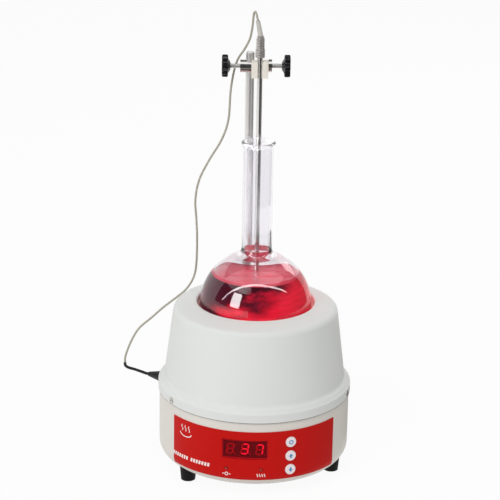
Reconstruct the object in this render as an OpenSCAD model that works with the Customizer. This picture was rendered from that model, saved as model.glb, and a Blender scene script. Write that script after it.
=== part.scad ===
// Heating mantle with a digital controller, a temperature probe on a cranked
// support rod, and the round flask that it heats.
// The feet stand on z = 0, the cup's axis is the Z axis and the front faces -Y.
// An azimuth is measured from the front, and grows towards +X.

/* [Housing] */
// Outer radius of the lower housing
housing_r = 90; // [86:0.5:96]
// Height of the lower housing from its floor to the seam
housing_h = 66; // [62:1:72]
// Thickness of the pressed housing
wall = 2; // [1.5:0.1:2.5]
// Radius of the housing's lower edge
corner_r = 14; // [10:1:18]
// Height of the joggled rim that the cover fits over
spigot_h = 7; // [6:0.1:7.2]
// Height of each rubber foot below the housing
foot_h = 10; // [7:0.5:14]
// Radius of a foot where it meets the floor
foot_r = 6.75; // [6:0.25:8]
// Distance of the feet inside the housing's side
foot_inset = 12.4; // [10.8:0.2:13.6]

/* [Cover] */
// Height of the cover from the seam to the lip of its opening
cover_h = 87; // [84:0.5:92]
// Thickness of the cover
cover_wall = 1.8; // [1.4:0.1:2.2]
// Height of the straight skirt over the seam
skirt_h = 7.4; // [6.6:0.2:8.4]
// How far the cone starts inside the skirt
flare = 6; // [5:0.25:8]
// Radius of the cover's upper shoulder
shoulder_r = 6; // [4:0.5:8]
// Slope of the ring between shoulder and opening, in degrees
ring_slope = 15; // [10:1:18]
// Gap between the flask and the opening
opening_gap = 2.4; // [2:0.1:3.4]

/* [Flask] */
// Outer radius of the flask's bulb
flask_r = 52.5; // [50:0.5:54]
// Glass thickness
glass = 1.6; // [1.2:0.1:2]
// Outer radius of the neck
neck_r = 14; // [13:0.25:14.5]
// Height of the neck's rim above the middle of the bulb
neck_h = 158.4; // [140:0.4:164]
// Radius of the beaded rim
rim_r = 15.8; // [15:0.1:16.2]
// How far the middle of the bulb sits below the lip of the opening
flask_drop = 4.4; // [3:0.2:6]
// Height of the liquid above the middle of the bulb
liquid_rise = 32; // [20:1:36]

/* [Heater] */
// Thickness of the knitted heating cup
cup_t = 4; // [3:0.25:5]
// Rows of knitting in the cup
cup_rows = 16; // [10:1:20]
// Thickness of the insulation behind the cup
insulation_t = 8.6; // [7:0.2:10]
// Thickness of the spun bowl and of its flange
bowl_t = 1.2; // [1:0.1:1.6]
// Width of the bowl's flange
flange_w = 8.1; // [7.5:0.1:9]

/* [Control panel] */
// Half of the panel's angle round the housing
panel_half = 55; // [45:1:60]
// Height of the panel
panel_h = 48; // [46:0.2:50]
// Thickness of the panel
panel_t = 0.6; // [0.4:0.1:0.8]
// Azimuth of the middle of the display window
window_az = -5; // [-8:0.25:0]
// Width of the display window
window_w = 42; // [40:0.5:44]
// Height of the display window
window_h = 18.8; // [18.6:0.2:20]
// Azimuth of the keys
key_az = 22.3; // [22:0.1:30]
// Radius of a key
key_r = 5; // [4:0.25:5.5]
// Distance between the keys
key_pitch = 13.7; // [13:0.1:14.5]
// Travel of a key
key_travel = 0.4; // [0.3:0.05:0.6]
// Radius of a lamp
lamp_r = 1.5; // [1.2:0.1:2]

/* [Rod and clamp] */
// Radius of the support rod
rod_r = 4; // [3.5:0.1:4.2]
// Distance of the upper rod to the left of the cup's axis
rod_x = 9; // [8.5:0.1:9.8]
// Distance of the upper rod behind the cup's axis
rod_y = 18.5; // [18.5:0.1:20]
// Distance of the lower rod outside the cover's opening
rod_foot_out = 12.1; // [11.4:0.1:13]
// Height of the rod's top above the flask's rim
rod_above = 79.6; // [74:0.2:90]
// Radius of the rod's two bends
bend_r = 16; // [12:1:20]
// Height of the clamp's rod boss above the flask's rim
clamp_above = 66; // [60:0.5:68]
// Radius of the two clamp bosses
boss_r = 6; // [5.6:0.1:6.5]
// Width of the clamp block
block_w = 15.4; // [14:0.2:17]
// Height of the clamp block
block_h = 15; // [14:0.2:17]
// Radius of a thumbscrew's shank
screw_r = 2; // [1.6:0.1:2.2]
// Length of a thumbscrew that shows between boss and knob
screw_show = 9; // [6:0.5:12]
// Radius of a knob
knob_r = 10.5; // [9:0.25:12]
// Thickness of a knob's star
knob_t = 5.6; // [5:0.2:8]

/* [Probe] */
// Radius of the probe's sheath
probe_r = 2.5; // [2:0.1:2.6]
// Distance of the probe behind the cup's axis
probe_y = 7; // [6:0.25:8]
// How far the probe's tip dips below the middle of the bulb
probe_dip = 23.6; // [10:0.2:30]
// How far the probe can slide down from there
probe_fall = 3; // [1:0.5:5]
// Radius of the handle's lower collar
handle_r = 4.4; // [3.8:0.1:5]
// Length of the handle
handle_len = 20; // [16:0.5:24]
// Radius of the plug's body
plug_r = 5; // [4.2:0.1:5.5]
// Length of the plug outside its socket
plug_len = 22; // [18:0.5:24]
// Azimuth of the probe socket
socket_az = -115; // [-118:0.5:-112]
// Distance of the probe socket below the seam
socket_drop = 10; // [9:0.5:12]

/* [Rear fittings] */
// Width of the recessed rear plate that shows
plate_w = 54; // [52:0.5:56]
// Height of the recessed rear plate that shows
plate_h = 43; // [42:0.5:45]
// Swing of the rocker between its two positions, in degrees
rocker_swing = 16; // [12:1:20]

/* [Hidden] */
$fn = 64;
// Clearance between parts that are set beside each other
gap = 0.3;
// Clearance round a shaft or a screw
bore_gap = 0.3;
// Overlap that a cutting tool needs beyond a face
over = 1;

// Small nuts, across flats and in height
nut_af = 7;
nut_t = 3.2;

floor_z = foot_h;
floor_top = floor_z + wall;
seam_z = floor_z + housing_h;
skirt_r = housing_r + 1.2;
spigot_r = skirt_r - cover_wall - gap;
spigot_top = seam_z + spigot_h;
lip_z = seam_z + cover_h;
skirt_top = seam_z + skirt_h;
flask_z = lip_z - flask_drop;
rim_z = flask_z + neck_h;
opening_r = flask_r + opening_gap;

cup_in = flask_r + 0.4;
cup_out = cup_in + cup_t;
insulation_in = cup_out + gap;
insulation_out = insulation_in + insulation_t;
bowl_in = insulation_out + gap;
bowl_out = bowl_in + bowl_t;
flange_r = bowl_out + flange_w;
flange_drop = 12.6;
flange_z = flask_z - flange_drop;
cover_top_r = flange_r + gap + cover_wall;
cone_r = skirt_r - flare;
cone_z = skirt_top + 8.6;
ring_r = cover_top_r - shoulder_r;
ring_z = lip_z - (ring_r - opening_r) * tan(ring_slope);

pillar_r = 3;
pillar_ring_r = flange_r - 5;
pillar_az = [90, -35, -145];
shield_z = spigot_top + 1;
shield_t = 1.2;
foot_ring_r = housing_r - foot_inset;
foot_az = [-51.5, 74, 191];
foot_names = ["front_left_foot", "front_right_foot", "rear_foot"];
cover_screw_az = [-57.5, 74.3, 188];
cover_screw_z = seam_z + 3.6;
cover_screw_r = 1.5;
cover_head_r = 2.8;

// Heights of the panel, and of the middles of what it shows
panel_rise = 8.7;
window_rise = 30.4;
lamp_rise = 10.8;
key_rise = 22.9;
panel_z = floor_z + panel_rise;
window_z = panel_z + window_rise;
lamp_z = panel_z + lamp_rise;
lamp_x = [-16.8, 15.4];
lamp_flange_q = housing_r - 6.2;
key_z = panel_z + key_rise;
module_w = 37.6;
module_h = window_h - 2.8;
module_d = 10.4;
module_face = housing_r - 2.2;
display_board_w = 46;
bar_w = 5.2;
bar_h = 4.4;
bar_half_t = 0.75;
bar_t = 0.4;
board_t = 1.6;
display_board_q = module_face - module_d;
key_face = housing_r + panel_t + 1.1;
key_flange_q = housing_r - wall - 0.5;
key_back = key_flange_q - 1;
key_board_q = key_back - key_travel - 5.6;
key_board_w = 13;
key_switch_w = 6;
digit_pitch = 13.5;

// The power board, which stands on four standoffs, and the parts on it
power_w = 70;
power_d = 50;
power_y = -2;
standoff_h = 8;
standoff_in = 4;
power_z = floor_top + standoff_h;
power_top = power_z + board_t;
core_w = 32;
core_d = 14;
core_h = 27;
core_leg = 5;
core_window_w = 6;
winding_d = 24;
winding_t = 5;
sink_d = 32;
sink_h = 28;
sink_t = 3;
fin_w = 11;
fin_t = 2;
triac_w = 10.2;
triac_h = 15;
triac_t = 4.4;
terminal_w = 25;
terminal_d = 9;
terminal_h = 11;

probe_tip_z = flask_z - probe_dip;
clamp_z = rim_z + clamp_above;
boss_left = -rod_x - rod_r - 5;
block_x = block_w / 2;
block_front = probe_y - probe_r - 0.5;
block_back = rod_y - rod_r - gap;
probe_boss_end = block_x + 3.1;
// The probe's screw lies higher than the rod's, in line with its own boss
probe_boss_z = clamp_z + 3.4;
block_z = clamp_z - block_h / 2 - 0.5;
knob_hub = 2.2;
handle_z = clamp_z + 11;
handle_top = handle_z + handle_len;
boot_len = 14;
boot_tilt = -11;

rod_foot_r = opening_r + rod_foot_out;
rod_foot_y = sqrt(pow(rod_foot_r, 2) - pow(rod_x, 2));
rod_top_z = rim_z + rod_above;
// The slanting stretch passes the bulb at this distance
rod_pass = sqrt(pow(flask_r + rod_r + 2.2, 2) - pow(rod_x, 2)) * sqrt(2);
rod_low_z = flask_z + rod_pass - rod_foot_y;
rod_high_z = flask_z + rod_pass - rod_y;
bend_cut = bend_r * tan(22.5);
// A bend is drawn a little thinner than the rod, and laps into its straights
bend_step = 0.05;
bend_lap = 0.3;
socket_seat_z = ring_z + (ring_r - rod_foot_r) * tan(ring_slope);
rod_socket_r = rod_r + 3;
rod_socket_top = rod_low_z - bend_cut - 0.8;
rod_stud_r = 4;
rod_nut_t = 3.6;
rod_nut_z = socket_seat_z - 9.2;

socket_z = seam_z - socket_drop;

plate_t = 1.5;
plate_q = sqrt(pow(housing_r - wall, 2) - pow(plate_w / 2 + 4, 2)) - 0.1;
plate_z = floor_z + 36.5;
inlet_x = -9.5;
inlet_z = plate_z - 7;
inlet_w = 31;
inlet_h = 24;
inlet_flange = 2;
well_w = 24.4;
well_h = 16.4;
well_d = 15;
pin_pitch = 7;
pin_w = 2;
pin_h = 4;
rocker_x = 17;
switch_w = 13;
switch_h = 19;
fuse_z = plate_z + 13;
rocker_r = 9;

// Route of the probe's cable, from the tip of its boot to its black sleeve
cable_r = 1;
sleeve_r = 1.4;
cable_route = [
    [-2.75, 7, 428.1], [-3.3, 7.3, 430.8], [-4, 8.8, 433.4], [-5, 11.8, 434.8], [-6, 14.8, 433.6],
    [-6.6, 16.8, 430.4], [-7, 18.2, 425], [-7.8, 20.6, 417], [-9.8, 22.8, 407], [-14.6, 24.4, 397],
    [-20, 26, 388.2], [-23.6, 28.5, 376.2], [-26.6, 31.5, 356.5], [-28.4, 33, 328],
    [-34.6, 34, 308.3], [-45.6, 35.6, 288.6], [-55, 37, 268.5], [-58.6, 39, 248],
    [-57.6, 41, 228], [-56.8, 43, 208], [-57.4, 46, 182], [-60, 48, 167],
    [-67, 49, 154.5], [-77, 50, 145], [-89, 50, 135], [-100, 50, 124.5],
    [-112, 50, 113.5], [-118.5, 50, 103], [-123, 50, 92.5], [-126, 50, 83],
    [-126.4, 50, 77]
];
// Route of the sleeve, down to the tail of the plug
sleeve_route = [
    [-126.4, 50, 77], [-126, 50.2, 73.6], [-123, 50.6, 71.2], [-117.5, 50.6, 69.6],
    [-110.5, 49.6, 67.6], [-106, 48.7, 66.3], [-103, 48, 66]
];

// ---------- outlines ----------

// Points along an arc, from angle a0 to a1
function arc(c, r, a0, a1, n) =
    [for (i = [0:n]) c + r * [cos(a0 + (a1 - a0) * i / n), sin(a0 + (a1 - a0) * i / n)]];

function turned_left(a, b) = let (d = (b - a) / norm(b - a)) [-d[1], d[0]];

// The same outline, moved by d to its left
function inset(p, d) =
    [for (i = [0:len(p) - 1])
        let (
            last = len(p) - 1,
            before = turned_left(p[max(i - 1, 0)], p[max(i, 1)]),
            after = turned_left(p[min(i, last - 1)], p[min(i + 1, last)]),
            q = p[i] + d * (before + after) / (1 + before * after)
        )
        [max(q[0], 0), q[1]]];

function reversed(p) = [for (i = [len(p) - 1:-1:0]) p[i]];

function shell(p, t) = concat(p, reversed(inset(p, t)));

// Outside of the lower housing, from the middle of its floor to the seam
housing_line = concat(
    [[0, floor_z]],
    arc([housing_r - corner_r, floor_z + corner_r], corner_r, -90, 0, 10),
    [[housing_r, seam_z]]
);

// Outside of the cover, from the skirt's edge to the lip of the opening
cone_turn = atan((cone_r - cover_top_r) / (ring_z - shoulder_r - cone_z));
cover_line = concat(
    [[skirt_r, seam_z]],
    arc([skirt_r - 1.6, skirt_top], 1.6, 0, 70, 5),
    arc([cone_r + 4.6, cone_z], 4.6, 248, 180 + cone_turn, 6),
    arc([cover_top_r - shoulder_r, ring_z - shoulder_r], shoulder_r, cone_turn, 90 - ring_slope, 8),
    arc([opening_r + 1.8, lip_z - 2.2], 1.8, 90 - ring_slope, 180, 6),
    [[opening_r, lip_z - 5]]
);

// Outside of the flask, from the bottom of the bulb to the top of the rim
neck_fillet = 9;
fillet_turn = acos((neck_r + neck_fillet) / (flask_r + neck_fillet));
fillet_mid = [neck_r + neck_fillet, flask_z + (flask_r + neck_fillet) * sin(fillet_turn)];
flask_line = concat(
    arc([0, flask_z], flask_r, -90, fillet_turn, 44),
    arc(fillet_mid, neck_fillet, 180 + fillet_turn - 8, 180, 6),
    [[neck_r, rim_z - 6], [neck_r + 0.5, rim_z - 4.2]],
    arc([rim_r - 1.6, rim_z - 1.8], 1.6, -35, 80, 6)
);

// ---------- placing ----------

// A frame at an azimuth, whose -Y points outwards
module at_az(a, z = 0) {
    translate([0, 0, z]) rotate([0, 0, a]) children();
}

// A cylinder along -Y, between two distances from the axis
module outwards(r, from, to) {
    translate([0, -from, 0]) rotate([90, 0, 0]) cylinder(r = r, h = to - from);
}

// A box along -Y, between two distances from the axis
module outwards_box(w, h, from, to) {
    translate([-w / 2, -to, -h / 2]) cube([w, to - from, h]);
}

// A six-sided nut across flats af
module nut(af, h, hole) {
    difference() {
        cylinder(r = af / sqrt(3), h = h, $fn = 6);
        translate([0, 0, -over]) cylinder(r = hole, h = h + 2 * over);
    }
}

// A strip of the housing's outside, between two azimuths and two heights
module band(a0, a1, z0, z1, r0, r1) {
    line = [for (p = concat(arc([housing_r - corner_r, floor_z + corner_r], corner_r, -60, 0, 10),
        [[housing_r, seam_z]])) if (p[1] > z0 + 0.2 && p[1] < z1 - 0.2) p];
    low = [housing_r - corner_r + sqrt(pow(corner_r, 2)
        - pow(min(z0 - floor_z - corner_r, 0), 2)), z0];
    mid = concat([low], line, [[housing_r, z1]]);
    rotate([0, 0, a0 - 90]) rotate_extrude(angle = a1 - a0)
        polygon(concat([for (p = mid) p + [r1, 0]], [for (p = reversed(mid)) p + [r0, 0]]));
}

// ---------- housing ----------

module housing_holes() {
    at_az(window_az, window_z) outwards_box(window_w - 2, window_h - 2, housing_r - 12, housing_r + over);
    for (x = lamp_x) at_az(window_az, lamp_z) translate([x, 0, 0])
        outwards(lamp_r + bore_gap, housing_r - 12, housing_r + over);
    for (i = [-1:1]) at_az(key_az, key_z + i * key_pitch)
        outwards(key_r + bore_gap, housing_r - 8, housing_r + over);
    at_az(socket_az, socket_z) outwards(4 + bore_gap, housing_r - 8, housing_r + over);
    at_az(180, plate_z) outwards_box(plate_w, plate_h, housing_r - 12, housing_r + over);
    for (a = cover_screw_az) at_az(a, cover_screw_z)
        outwards(cover_screw_r + 0.1, spigot_r - 6, spigot_r + over);
    for (a = foot_az) at_az(a) translate([0, -foot_ring_r, floor_z - over])
        cylinder(r = 2.2, h = wall + 4);
    for (a = pillar_az) at_az(a) translate([0, -pillar_ring_r, floor_z - over])
        cylinder(r = 2.2, h = wall + 4);
    for (a = [0:30:330]) rotate([0, 0, a]) translate([34, -1.5, floor_z - over])
        cube([20, 3, wall + 2 * over]);
}

module lower_housing() {
    rim = [
        [spigot_r, seam_z], [spigot_r, spigot_top], [spigot_r - wall, spigot_top],
        [spigot_r - wall, seam_z - 3]
    ];
    color([0.84, 0.82, 0.79]) difference() {
        rotate_extrude($fn = 128) polygon(concat(housing_line, rim,
            reversed(inset([for (p = housing_line) [p[0], min(p[1], seam_z - 4)]], wall))));
        housing_holes();
    }
}

module upper_cover() {
    color([0.88, 0.88, 0.87]) difference() {
        rotate_extrude($fn = 128) polygon(shell(cover_line, cover_wall));
        for (a = cover_screw_az) at_az(a, cover_screw_z) {
            outwards(cover_screw_r + bore_gap, skirt_r - 8, skirt_r + over);
            outwards(cover_head_r + bore_gap, skirt_r - 0.9, skirt_r + 2 * over);
        }
        translate([-rod_x, rod_foot_y, socket_seat_z - 12]) cylinder(r = rod_stud_r + bore_gap, h = 30);
    }
}

// Pan-headed screws through the skirt
module cover_screws() {
    color([0.75, 0.75, 0.76]) for (a = cover_screw_az) at_az(a, cover_screw_z)
        difference() {
            union() {
                outwards(cover_screw_r, spigot_r - 5, skirt_r);
                outwards(cover_head_r, skirt_r - 0.9, skirt_r + 0.5);
            }
            outwards_box(0.7, 3.2, skirt_r - 0.3, skirt_r + over);
            outwards_box(3.2, 0.7, skirt_r - 0.3, skirt_r + over);
        }
}

// A tapered rubber foot, moulded to the housing's lower edge
module foot(a) {
    color([0.08, 0.08, 0.08]) difference() {
        at_az(a) translate([0, -foot_ring_r, 0]) difference() {
            cylinder(r1 = foot_r, r2 = foot_r + 1.2, h = foot_h + 3.6);
            translate([0, 0, -over]) cylinder(r = 4.2, h = 4.2 + over);
            cylinder(r = 2.2, h = foot_h + 6);
        }
        rotate_extrude($fn = 128) polygon(concat(housing_line, [[0, seam_z]]));
    }
}

module foot_screws() {
    color([0.7, 0.7, 0.72]) for (a = foot_az) at_az(a) translate([0, -foot_ring_r, 0]) {
        translate([0, 0, 2]) cylinder(r = 3.8, h = 2.2);
        translate([0, 0, 4.2]) cylinder(r = 2, h = foot_h + 4.2);
    }
}

// Each nut just clears the housing's rounded inner corner
module foot_nuts() {
    in_corner = foot_ring_r + nut_af / sqrt(3) - housing_r + corner_r;
    seat_z = floor_z + corner_r - sqrt(pow(corner_r - wall, 2) - pow(max(in_corner, 0), 2));
    color([0.7, 0.7, 0.72]) for (a = foot_az) at_az(a)
        translate([0, -foot_ring_r, seat_z + gap]) nut(nut_af, nut_t, 2.1);
}

// ---------- front panel ----------

module control_panel() {
    half_w = asin((window_w / 2 + 0.15) / housing_r);
    color([0.7, 0.11, 0.1]) difference() {
        band(-panel_half, panel_half, panel_z, panel_z + panel_h, 0.05, panel_t);
        band(window_az - half_w, window_az + half_w, window_z - window_h / 2 - 0.15,
            window_z + window_h / 2 + 0.15, -over, panel_t + over);
        for (x = lamp_x) at_az(window_az, lamp_z) translate([x, 0, 0])
            outwards(lamp_r + bore_gap, housing_r - 8, housing_r + 2 * over);
        for (i = [-1:1]) at_az(key_az, key_z + i * key_pitch)
            outwards(key_r + bore_gap, housing_r - 8, housing_r + 2 * over);
    }
}

module display_window() {
    half_w = asin(window_w / 2 / housing_r);
    color([0.35, 0.06, 0.06, 0.7])
        band(window_az - half_w, window_az + half_w, window_z - window_h / 2,
            window_z + window_h / 2, 0.05, panel_t);
}

module display_board() {
    h = window_z - lamp_z + window_h / 2 + 8;
    color([0.1, 0.35, 0.2]) at_az(window_az, lamp_z - 5)
        translate([0, 0, h / 2])
            outwards_box(display_board_w, h, display_board_q - board_t, display_board_q);
}

// One bar of a seven-segment digit, lying along X
module segment_bar(len) {
    end = len / 2;
    w = bar_half_t;
    rotate([90, 0, 0]) linear_extrude(bar_t) polygon([
        [-end, 0], [-end + w, w], [end - w, w], [end, 0], [end - w, -w], [-end + w, -w]
    ]);
}

module digit() {
    step = bar_h + 0.4;
    for (z = [-1:1]) translate([0, 0, z * step]) segment_bar(bar_w);
    for (x = [-1, 1], z = [-1, 1]) translate([x * (bar_w / 2 + 0.3), 0, z * step / 2])
        rotate([0, 90, 0]) segment_bar(bar_h);
}

module display_module() {
    color([0.16, 0.03, 0.03]) at_az(window_az, window_z) {
        outwards_box(module_w, module_h, display_board_q, module_face - bar_t);
        for (i = [-1:1]) translate([i * digit_pitch, -(module_face - bar_t), 0]) digit();
    }
}

module lamp(x) {
    front = sqrt(pow(housing_r, 2) - pow(x, 2)) + panel_t - 0.6;
    color([0.45, 0.1, 0.1]) at_az(window_az, lamp_z) translate([x, 0, 0]) {
        outwards(lamp_r + 0.7, display_board_q, lamp_flange_q);
        outwards(lamp_r, display_board_q, front);
        translate([0, -front, 0]) sphere(r = lamp_r);
    }
}

module key_board() {
    color([0.1, 0.35, 0.2]) at_az(key_az, key_z)
        outwards_box(key_board_w, 2 * key_pitch + key_board_w, key_board_q - board_t, key_board_q);
}

module key_switches() {
    color([0.15, 0.15, 0.16]) for (i = [-1:1]) at_az(key_az, key_z + i * key_pitch) {
        outwards_box(key_switch_w, key_switch_w, key_board_q, key_board_q + 3.5);
        outwards(1.7, key_board_q + 3.5, key_board_q + 4.4);
    }
}

// A round key with a flange behind the wall and a stem over its switch
module key(i) {
    color([0.95, 0.9, 0.9]) at_az(key_az, key_z + i * key_pitch) {
        outwards(key_r, key_back, key_face - 0.5);
        translate([0, -key_face + 0.5, 0]) rotate([90, 0, 0])
            cylinder(r1 = key_r, r2 = key_r - 0.5, h = 0.5);
        outwards(key_r + 1, key_back, key_flange_q);
        outwards(1.5, key_back - 0.9, key_back);
    }
}

// ---------- electronics ----------

// The four corners where the power board is screwed down
module at_standoffs() {
    x = power_w / 2 - standoff_in;
    y = power_d / 2 - standoff_in;
    for (i = [-1, 1], j = [-1, 1]) translate([i * x, power_y + j * y, floor_top]) children();
}

module power_board() {
    color([0.1, 0.35, 0.2]) difference() {
        translate([-power_w / 2, power_y - power_d / 2, power_z]) cube([power_w, power_d, board_t]);
        at_standoffs() cylinder(r = 1.6, h = standoff_h + 12);
    }
}

module board_standoffs() {
    color([0.75, 0.68, 0.4]) at_standoffs() {
        cylinder(r = 3, h = standoff_h);
        translate([0, 0, standoff_h]) cylinder(r = 1.5, h = board_t + 1);
        translate([0, 0, standoff_h + board_t]) cylinder(r = 2.6, h = 1.8);
    }
}

// A laminated core with two windows, and a winding round its middle leg
module transformer() {
    window_h = core_h - 2 * core_leg;
    winding_w = core_w - 2 * (core_leg + 0.6);
    color([0.3, 0.3, 0.32]) translate([-29, -14, power_top]) {
        difference() {
            cube([core_w, core_d, core_h]);
            for (x = [core_leg, core_w - core_leg - core_window_w]) translate([x, -over, core_leg])
                cube([core_window_w, core_d + 2 * over, window_h]);
        }
        translate([core_leg + 0.6, (core_d - winding_d) / 2, core_leg + 0.6]) difference() {
            cube([winding_w, winding_d, window_h - 1.2]);
            translate([winding_t, (winding_d - core_d) / 2 - 0.4, -over])
                cube([winding_w - 2 * winding_t, core_d + 0.8, window_h + 3]);
        }
    }
}

module triac_heatsink() {
    color([0.7, 0.71, 0.73]) translate([9, -sink_d / 2, power_top]) {
        cube([sink_t, sink_d, sink_h]);
        for (i = [0:6]) translate([sink_t, i * (sink_d - fin_t) / 6, 0]) cube([fin_w, fin_t, sink_h]);
        translate([-triac_t, 11, 6]) cube([triac_t, triac_w, triac_h]);
    }
}

module terminal_block() {
    pitch = terminal_w / 5;
    color([0.15, 0.45, 0.3]) translate([-terminal_w, 8, power_top]) difference() {
        cube([terminal_w, terminal_d, terminal_h]);
        for (i = [0:4]) translate([(i + 0.5) * pitch, terminal_d / 2, 4]) cylinder(r = 1.7, h = terminal_h);
        for (i = [0:4]) translate([i * pitch + 1, terminal_d - 2, 1.4]) cube([3, 3, 3]);
    }
}

// ---------- rear fittings ----------

module rear_plate() {
    color([0.72, 0.72, 0.73]) difference() {
        at_az(180, plate_z) outwards_box(plate_w + 8, plate_h + 4, plate_q - plate_t, plate_q);
        at_az(180, inlet_z) translate([-inlet_x, 0, 0]) outwards_box(inlet_w - 2 * inlet_flange + 0.4,
            inlet_h - 2 * inlet_flange + 0.4, plate_q - 5, plate_q + over);
        at_az(180, inlet_z) translate([-rocker_x, 0, 0])
            outwards_box(switch_w + 0.4, switch_h + 0.4, plate_q - 5, plate_q + over);
        at_az(180, fuse_z) outwards(5 + bore_gap, plate_q - 5, plate_q + over);
    }
}

// The inlet's three pins, of which the middle one sits higher
module at_pins() {
    for (i = [-1:1]) translate([i * pin_pitch, 0, i == 0 ? 2 : -2]) children();
}

// Socket of the mains inlet: a flange, a well and its closed end
module power_inlet() {
    color([0.07, 0.07, 0.07]) at_az(180, inlet_z) translate([-inlet_x, 0, 0]) difference() {
        union() {
            outwards_box(inlet_w, inlet_h, plate_q, plate_q + 2.2);
            outwards_box(inlet_w - 2 * inlet_flange, inlet_h - 2 * inlet_flange,
                plate_q - well_d - 5, plate_q);
        }
        outwards_box(well_w, well_h, plate_q - well_d, plate_q + 2.2 + over);
        at_pins() outwards_box(pin_w + 0.2, pin_h + 0.2, plate_q - well_d - 5 - over, plate_q);
    }
}

module inlet_pins() {
    color([0.8, 0.7, 0.4]) at_az(180, inlet_z) translate([-inlet_x, 0, 0])
        at_pins() outwards_box(pin_w, pin_h, plate_q - well_d - 11, plate_q - 4);
}

module fuse_holder() {
    color([0.07, 0.07, 0.07]) at_az(180, fuse_z) difference() {
        union() {
            outwards(5, plate_q - 24, plate_q);
            outwards(7, plate_q, plate_q + 1.6);
            outwards(5.6, plate_q + 1.6, plate_q + 5);
        }
        outwards_box(7.6, 1.2, plate_q + 4, plate_q + 5 + over);
    }
}

module switch_body() {
    color([0.07, 0.07, 0.07]) at_az(180, inlet_z) translate([-rocker_x, 0, 0]) difference() {
        union() {
            outwards_box(switch_w + 2, switch_h + 2, plate_q, plate_q + 1.8);
            outwards_box(switch_w, switch_h, plate_q - 16, plate_q);
        }
        outwards_box(switch_w - 2.6, switch_h - 2.6, plate_q - 9, plate_q + 1.8 + over);
    }
}

// The rocker turns about a pin along X, which sits in the switch's well
module power_rocker() {
    pivot_q = plate_q - 5;
    tilt = rocker_swing / 2;
    color([0.75, 0.08, 0.06]) at_az(180, inlet_z) translate([-rocker_x, -pivot_q, 0])
        rotate([tilt, 0, 0]) intersection() {
            difference() {
                rotate([0, 90, 0]) translate([0, 0, -4.8]) cylinder(r = 7.6, h = 9.6);
                translate([-10, -27, 0]) rotate([0, 90, 0]) cylinder(r = 19.6, h = 20);
            }
            translate([-6, -9, -7.2]) cube([12, 11.4, 14.4]);
        }
}

// ---------- heater ----------

module heat_shield() {
    color([0.7, 0.71, 0.72]) difference() {
        translate([0, 0, shield_z]) cylinder(r = spigot_r - wall - 1, h = shield_t);
        for (a = pillar_az) at_az(a) translate([0, -pillar_ring_r, shield_z - over])
            cylinder(r = pillar_r + bore_gap, h = 4);
        for (a = [15:60:315]) rotate([0, 0, a]) translate([40, 0, shield_z - over])
            cylinder(r = 6, h = 4);
    }
}

// Turned pillars between the floor and the bowl's flange
module support_pillars() {
    color([0.78, 0.78, 0.8]) for (a = pillar_az) at_az(a) translate([0, -pillar_ring_r, 0]) {
        translate([0, 0, floor_top]) cylinder(r = pillar_r, h = flange_z - bowl_t - floor_top);
        translate([0, 0, shield_z - 1.5]) cylinder(r = pillar_r + 1.8, h = 1.5);
        translate([0, 0, flange_z - bowl_t]) cylinder(r = 2, h = bowl_t + 4);
        translate([0, 0, floor_z - 2.4]) cylinder(r = 2, h = wall + 2.4);
        translate([0, 0, floor_z - 2.4]) cylinder(r = 3.6, h = 2.4);
    }
}

module pillar_nuts() {
    color([0.7, 0.7, 0.72]) for (a = pillar_az) at_az(a)
        translate([0, -pillar_ring_r, flange_z]) nut(nut_af, nut_t, 2.1);
}

module inner_bowl() {
    low = asin(-(flask_z - flange_z + bowl_t) / bowl_out);
    line = concat(arc([0, flask_z], bowl_out, -90, low, 20), [[flange_r, flange_z - bowl_t]]);
    color([0.8, 0.81, 0.82]) difference() {
        rotate_extrude($fn = 128) polygon(shell(line, bowl_t));
        for (a = pillar_az) at_az(a) translate([0, -pillar_ring_r, flange_z - 5])
            cylinder(r = 2 + bore_gap, h = 10);
    }
}

// A bowl between two spheres, cut level at a height
module bowl_between(r0, r1, top_z) {
    rise = top_z - flask_z;
    rotate_extrude($fn = 128) polygon(concat(
        arc([0, flask_z], r1, -90, asin(rise / r1), 24),
        reversed(arc([0, flask_z], r0, -90, asin(rise / r0), 24))
    ));
}

module insulation() {
    color([0.93, 0.92, 0.88]) bowl_between(insulation_in, insulation_out, flange_z + bowl_t + 2);
}

// The knitted cup: its inside is ribbed by rows of heating yarn
module heating_cup() {
    steps = cup_rows * 4;
    top = -1;
    inside = [for (i = [0:steps]) let (a = -90 + (90 + top) * i / steps,
        r = cup_in + 0.45 * (1 - cos(360 * i / 4)))
        [max(r * cos(a), 0), flask_z + r * sin(a)]];
    color([0.9, 0.88, 0.84]) rotate_extrude($fn = 128) polygon(concat(
        arc([0, flask_z], cup_out, -90, top - 1.5, 24),
        reversed([for (i = [0:steps]) i == 0 ? [0, inside[0][1]] : inside[i]])
    ));
}

// ---------- flask ----------

module flask() {
    color([0.9, 0.95, 0.95, 0.35]) rotate_extrude($fn = 96) polygon(shell(flask_line, glass));
}

// The liquid leaves a well round the probe, as deep as the probe can slide
module liquid() {
    r = flask_r - glass - 0.2;
    color([0.8, 0.05, 0.15, 0.8]) difference() {
        rotate_extrude($fn = 96) polygon(concat(
            arc([0, flask_z], r, -90, asin(liquid_rise / r), 36),
            [[0, flask_z + liquid_rise]]
        ));
        translate([0, probe_y, probe_tip_z - probe_fall]) {
            sphere(r = probe_r + bore_gap);
            cylinder(r = probe_r + bore_gap, h = 100);
        }
    }
}

// ---------- rod ----------

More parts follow.
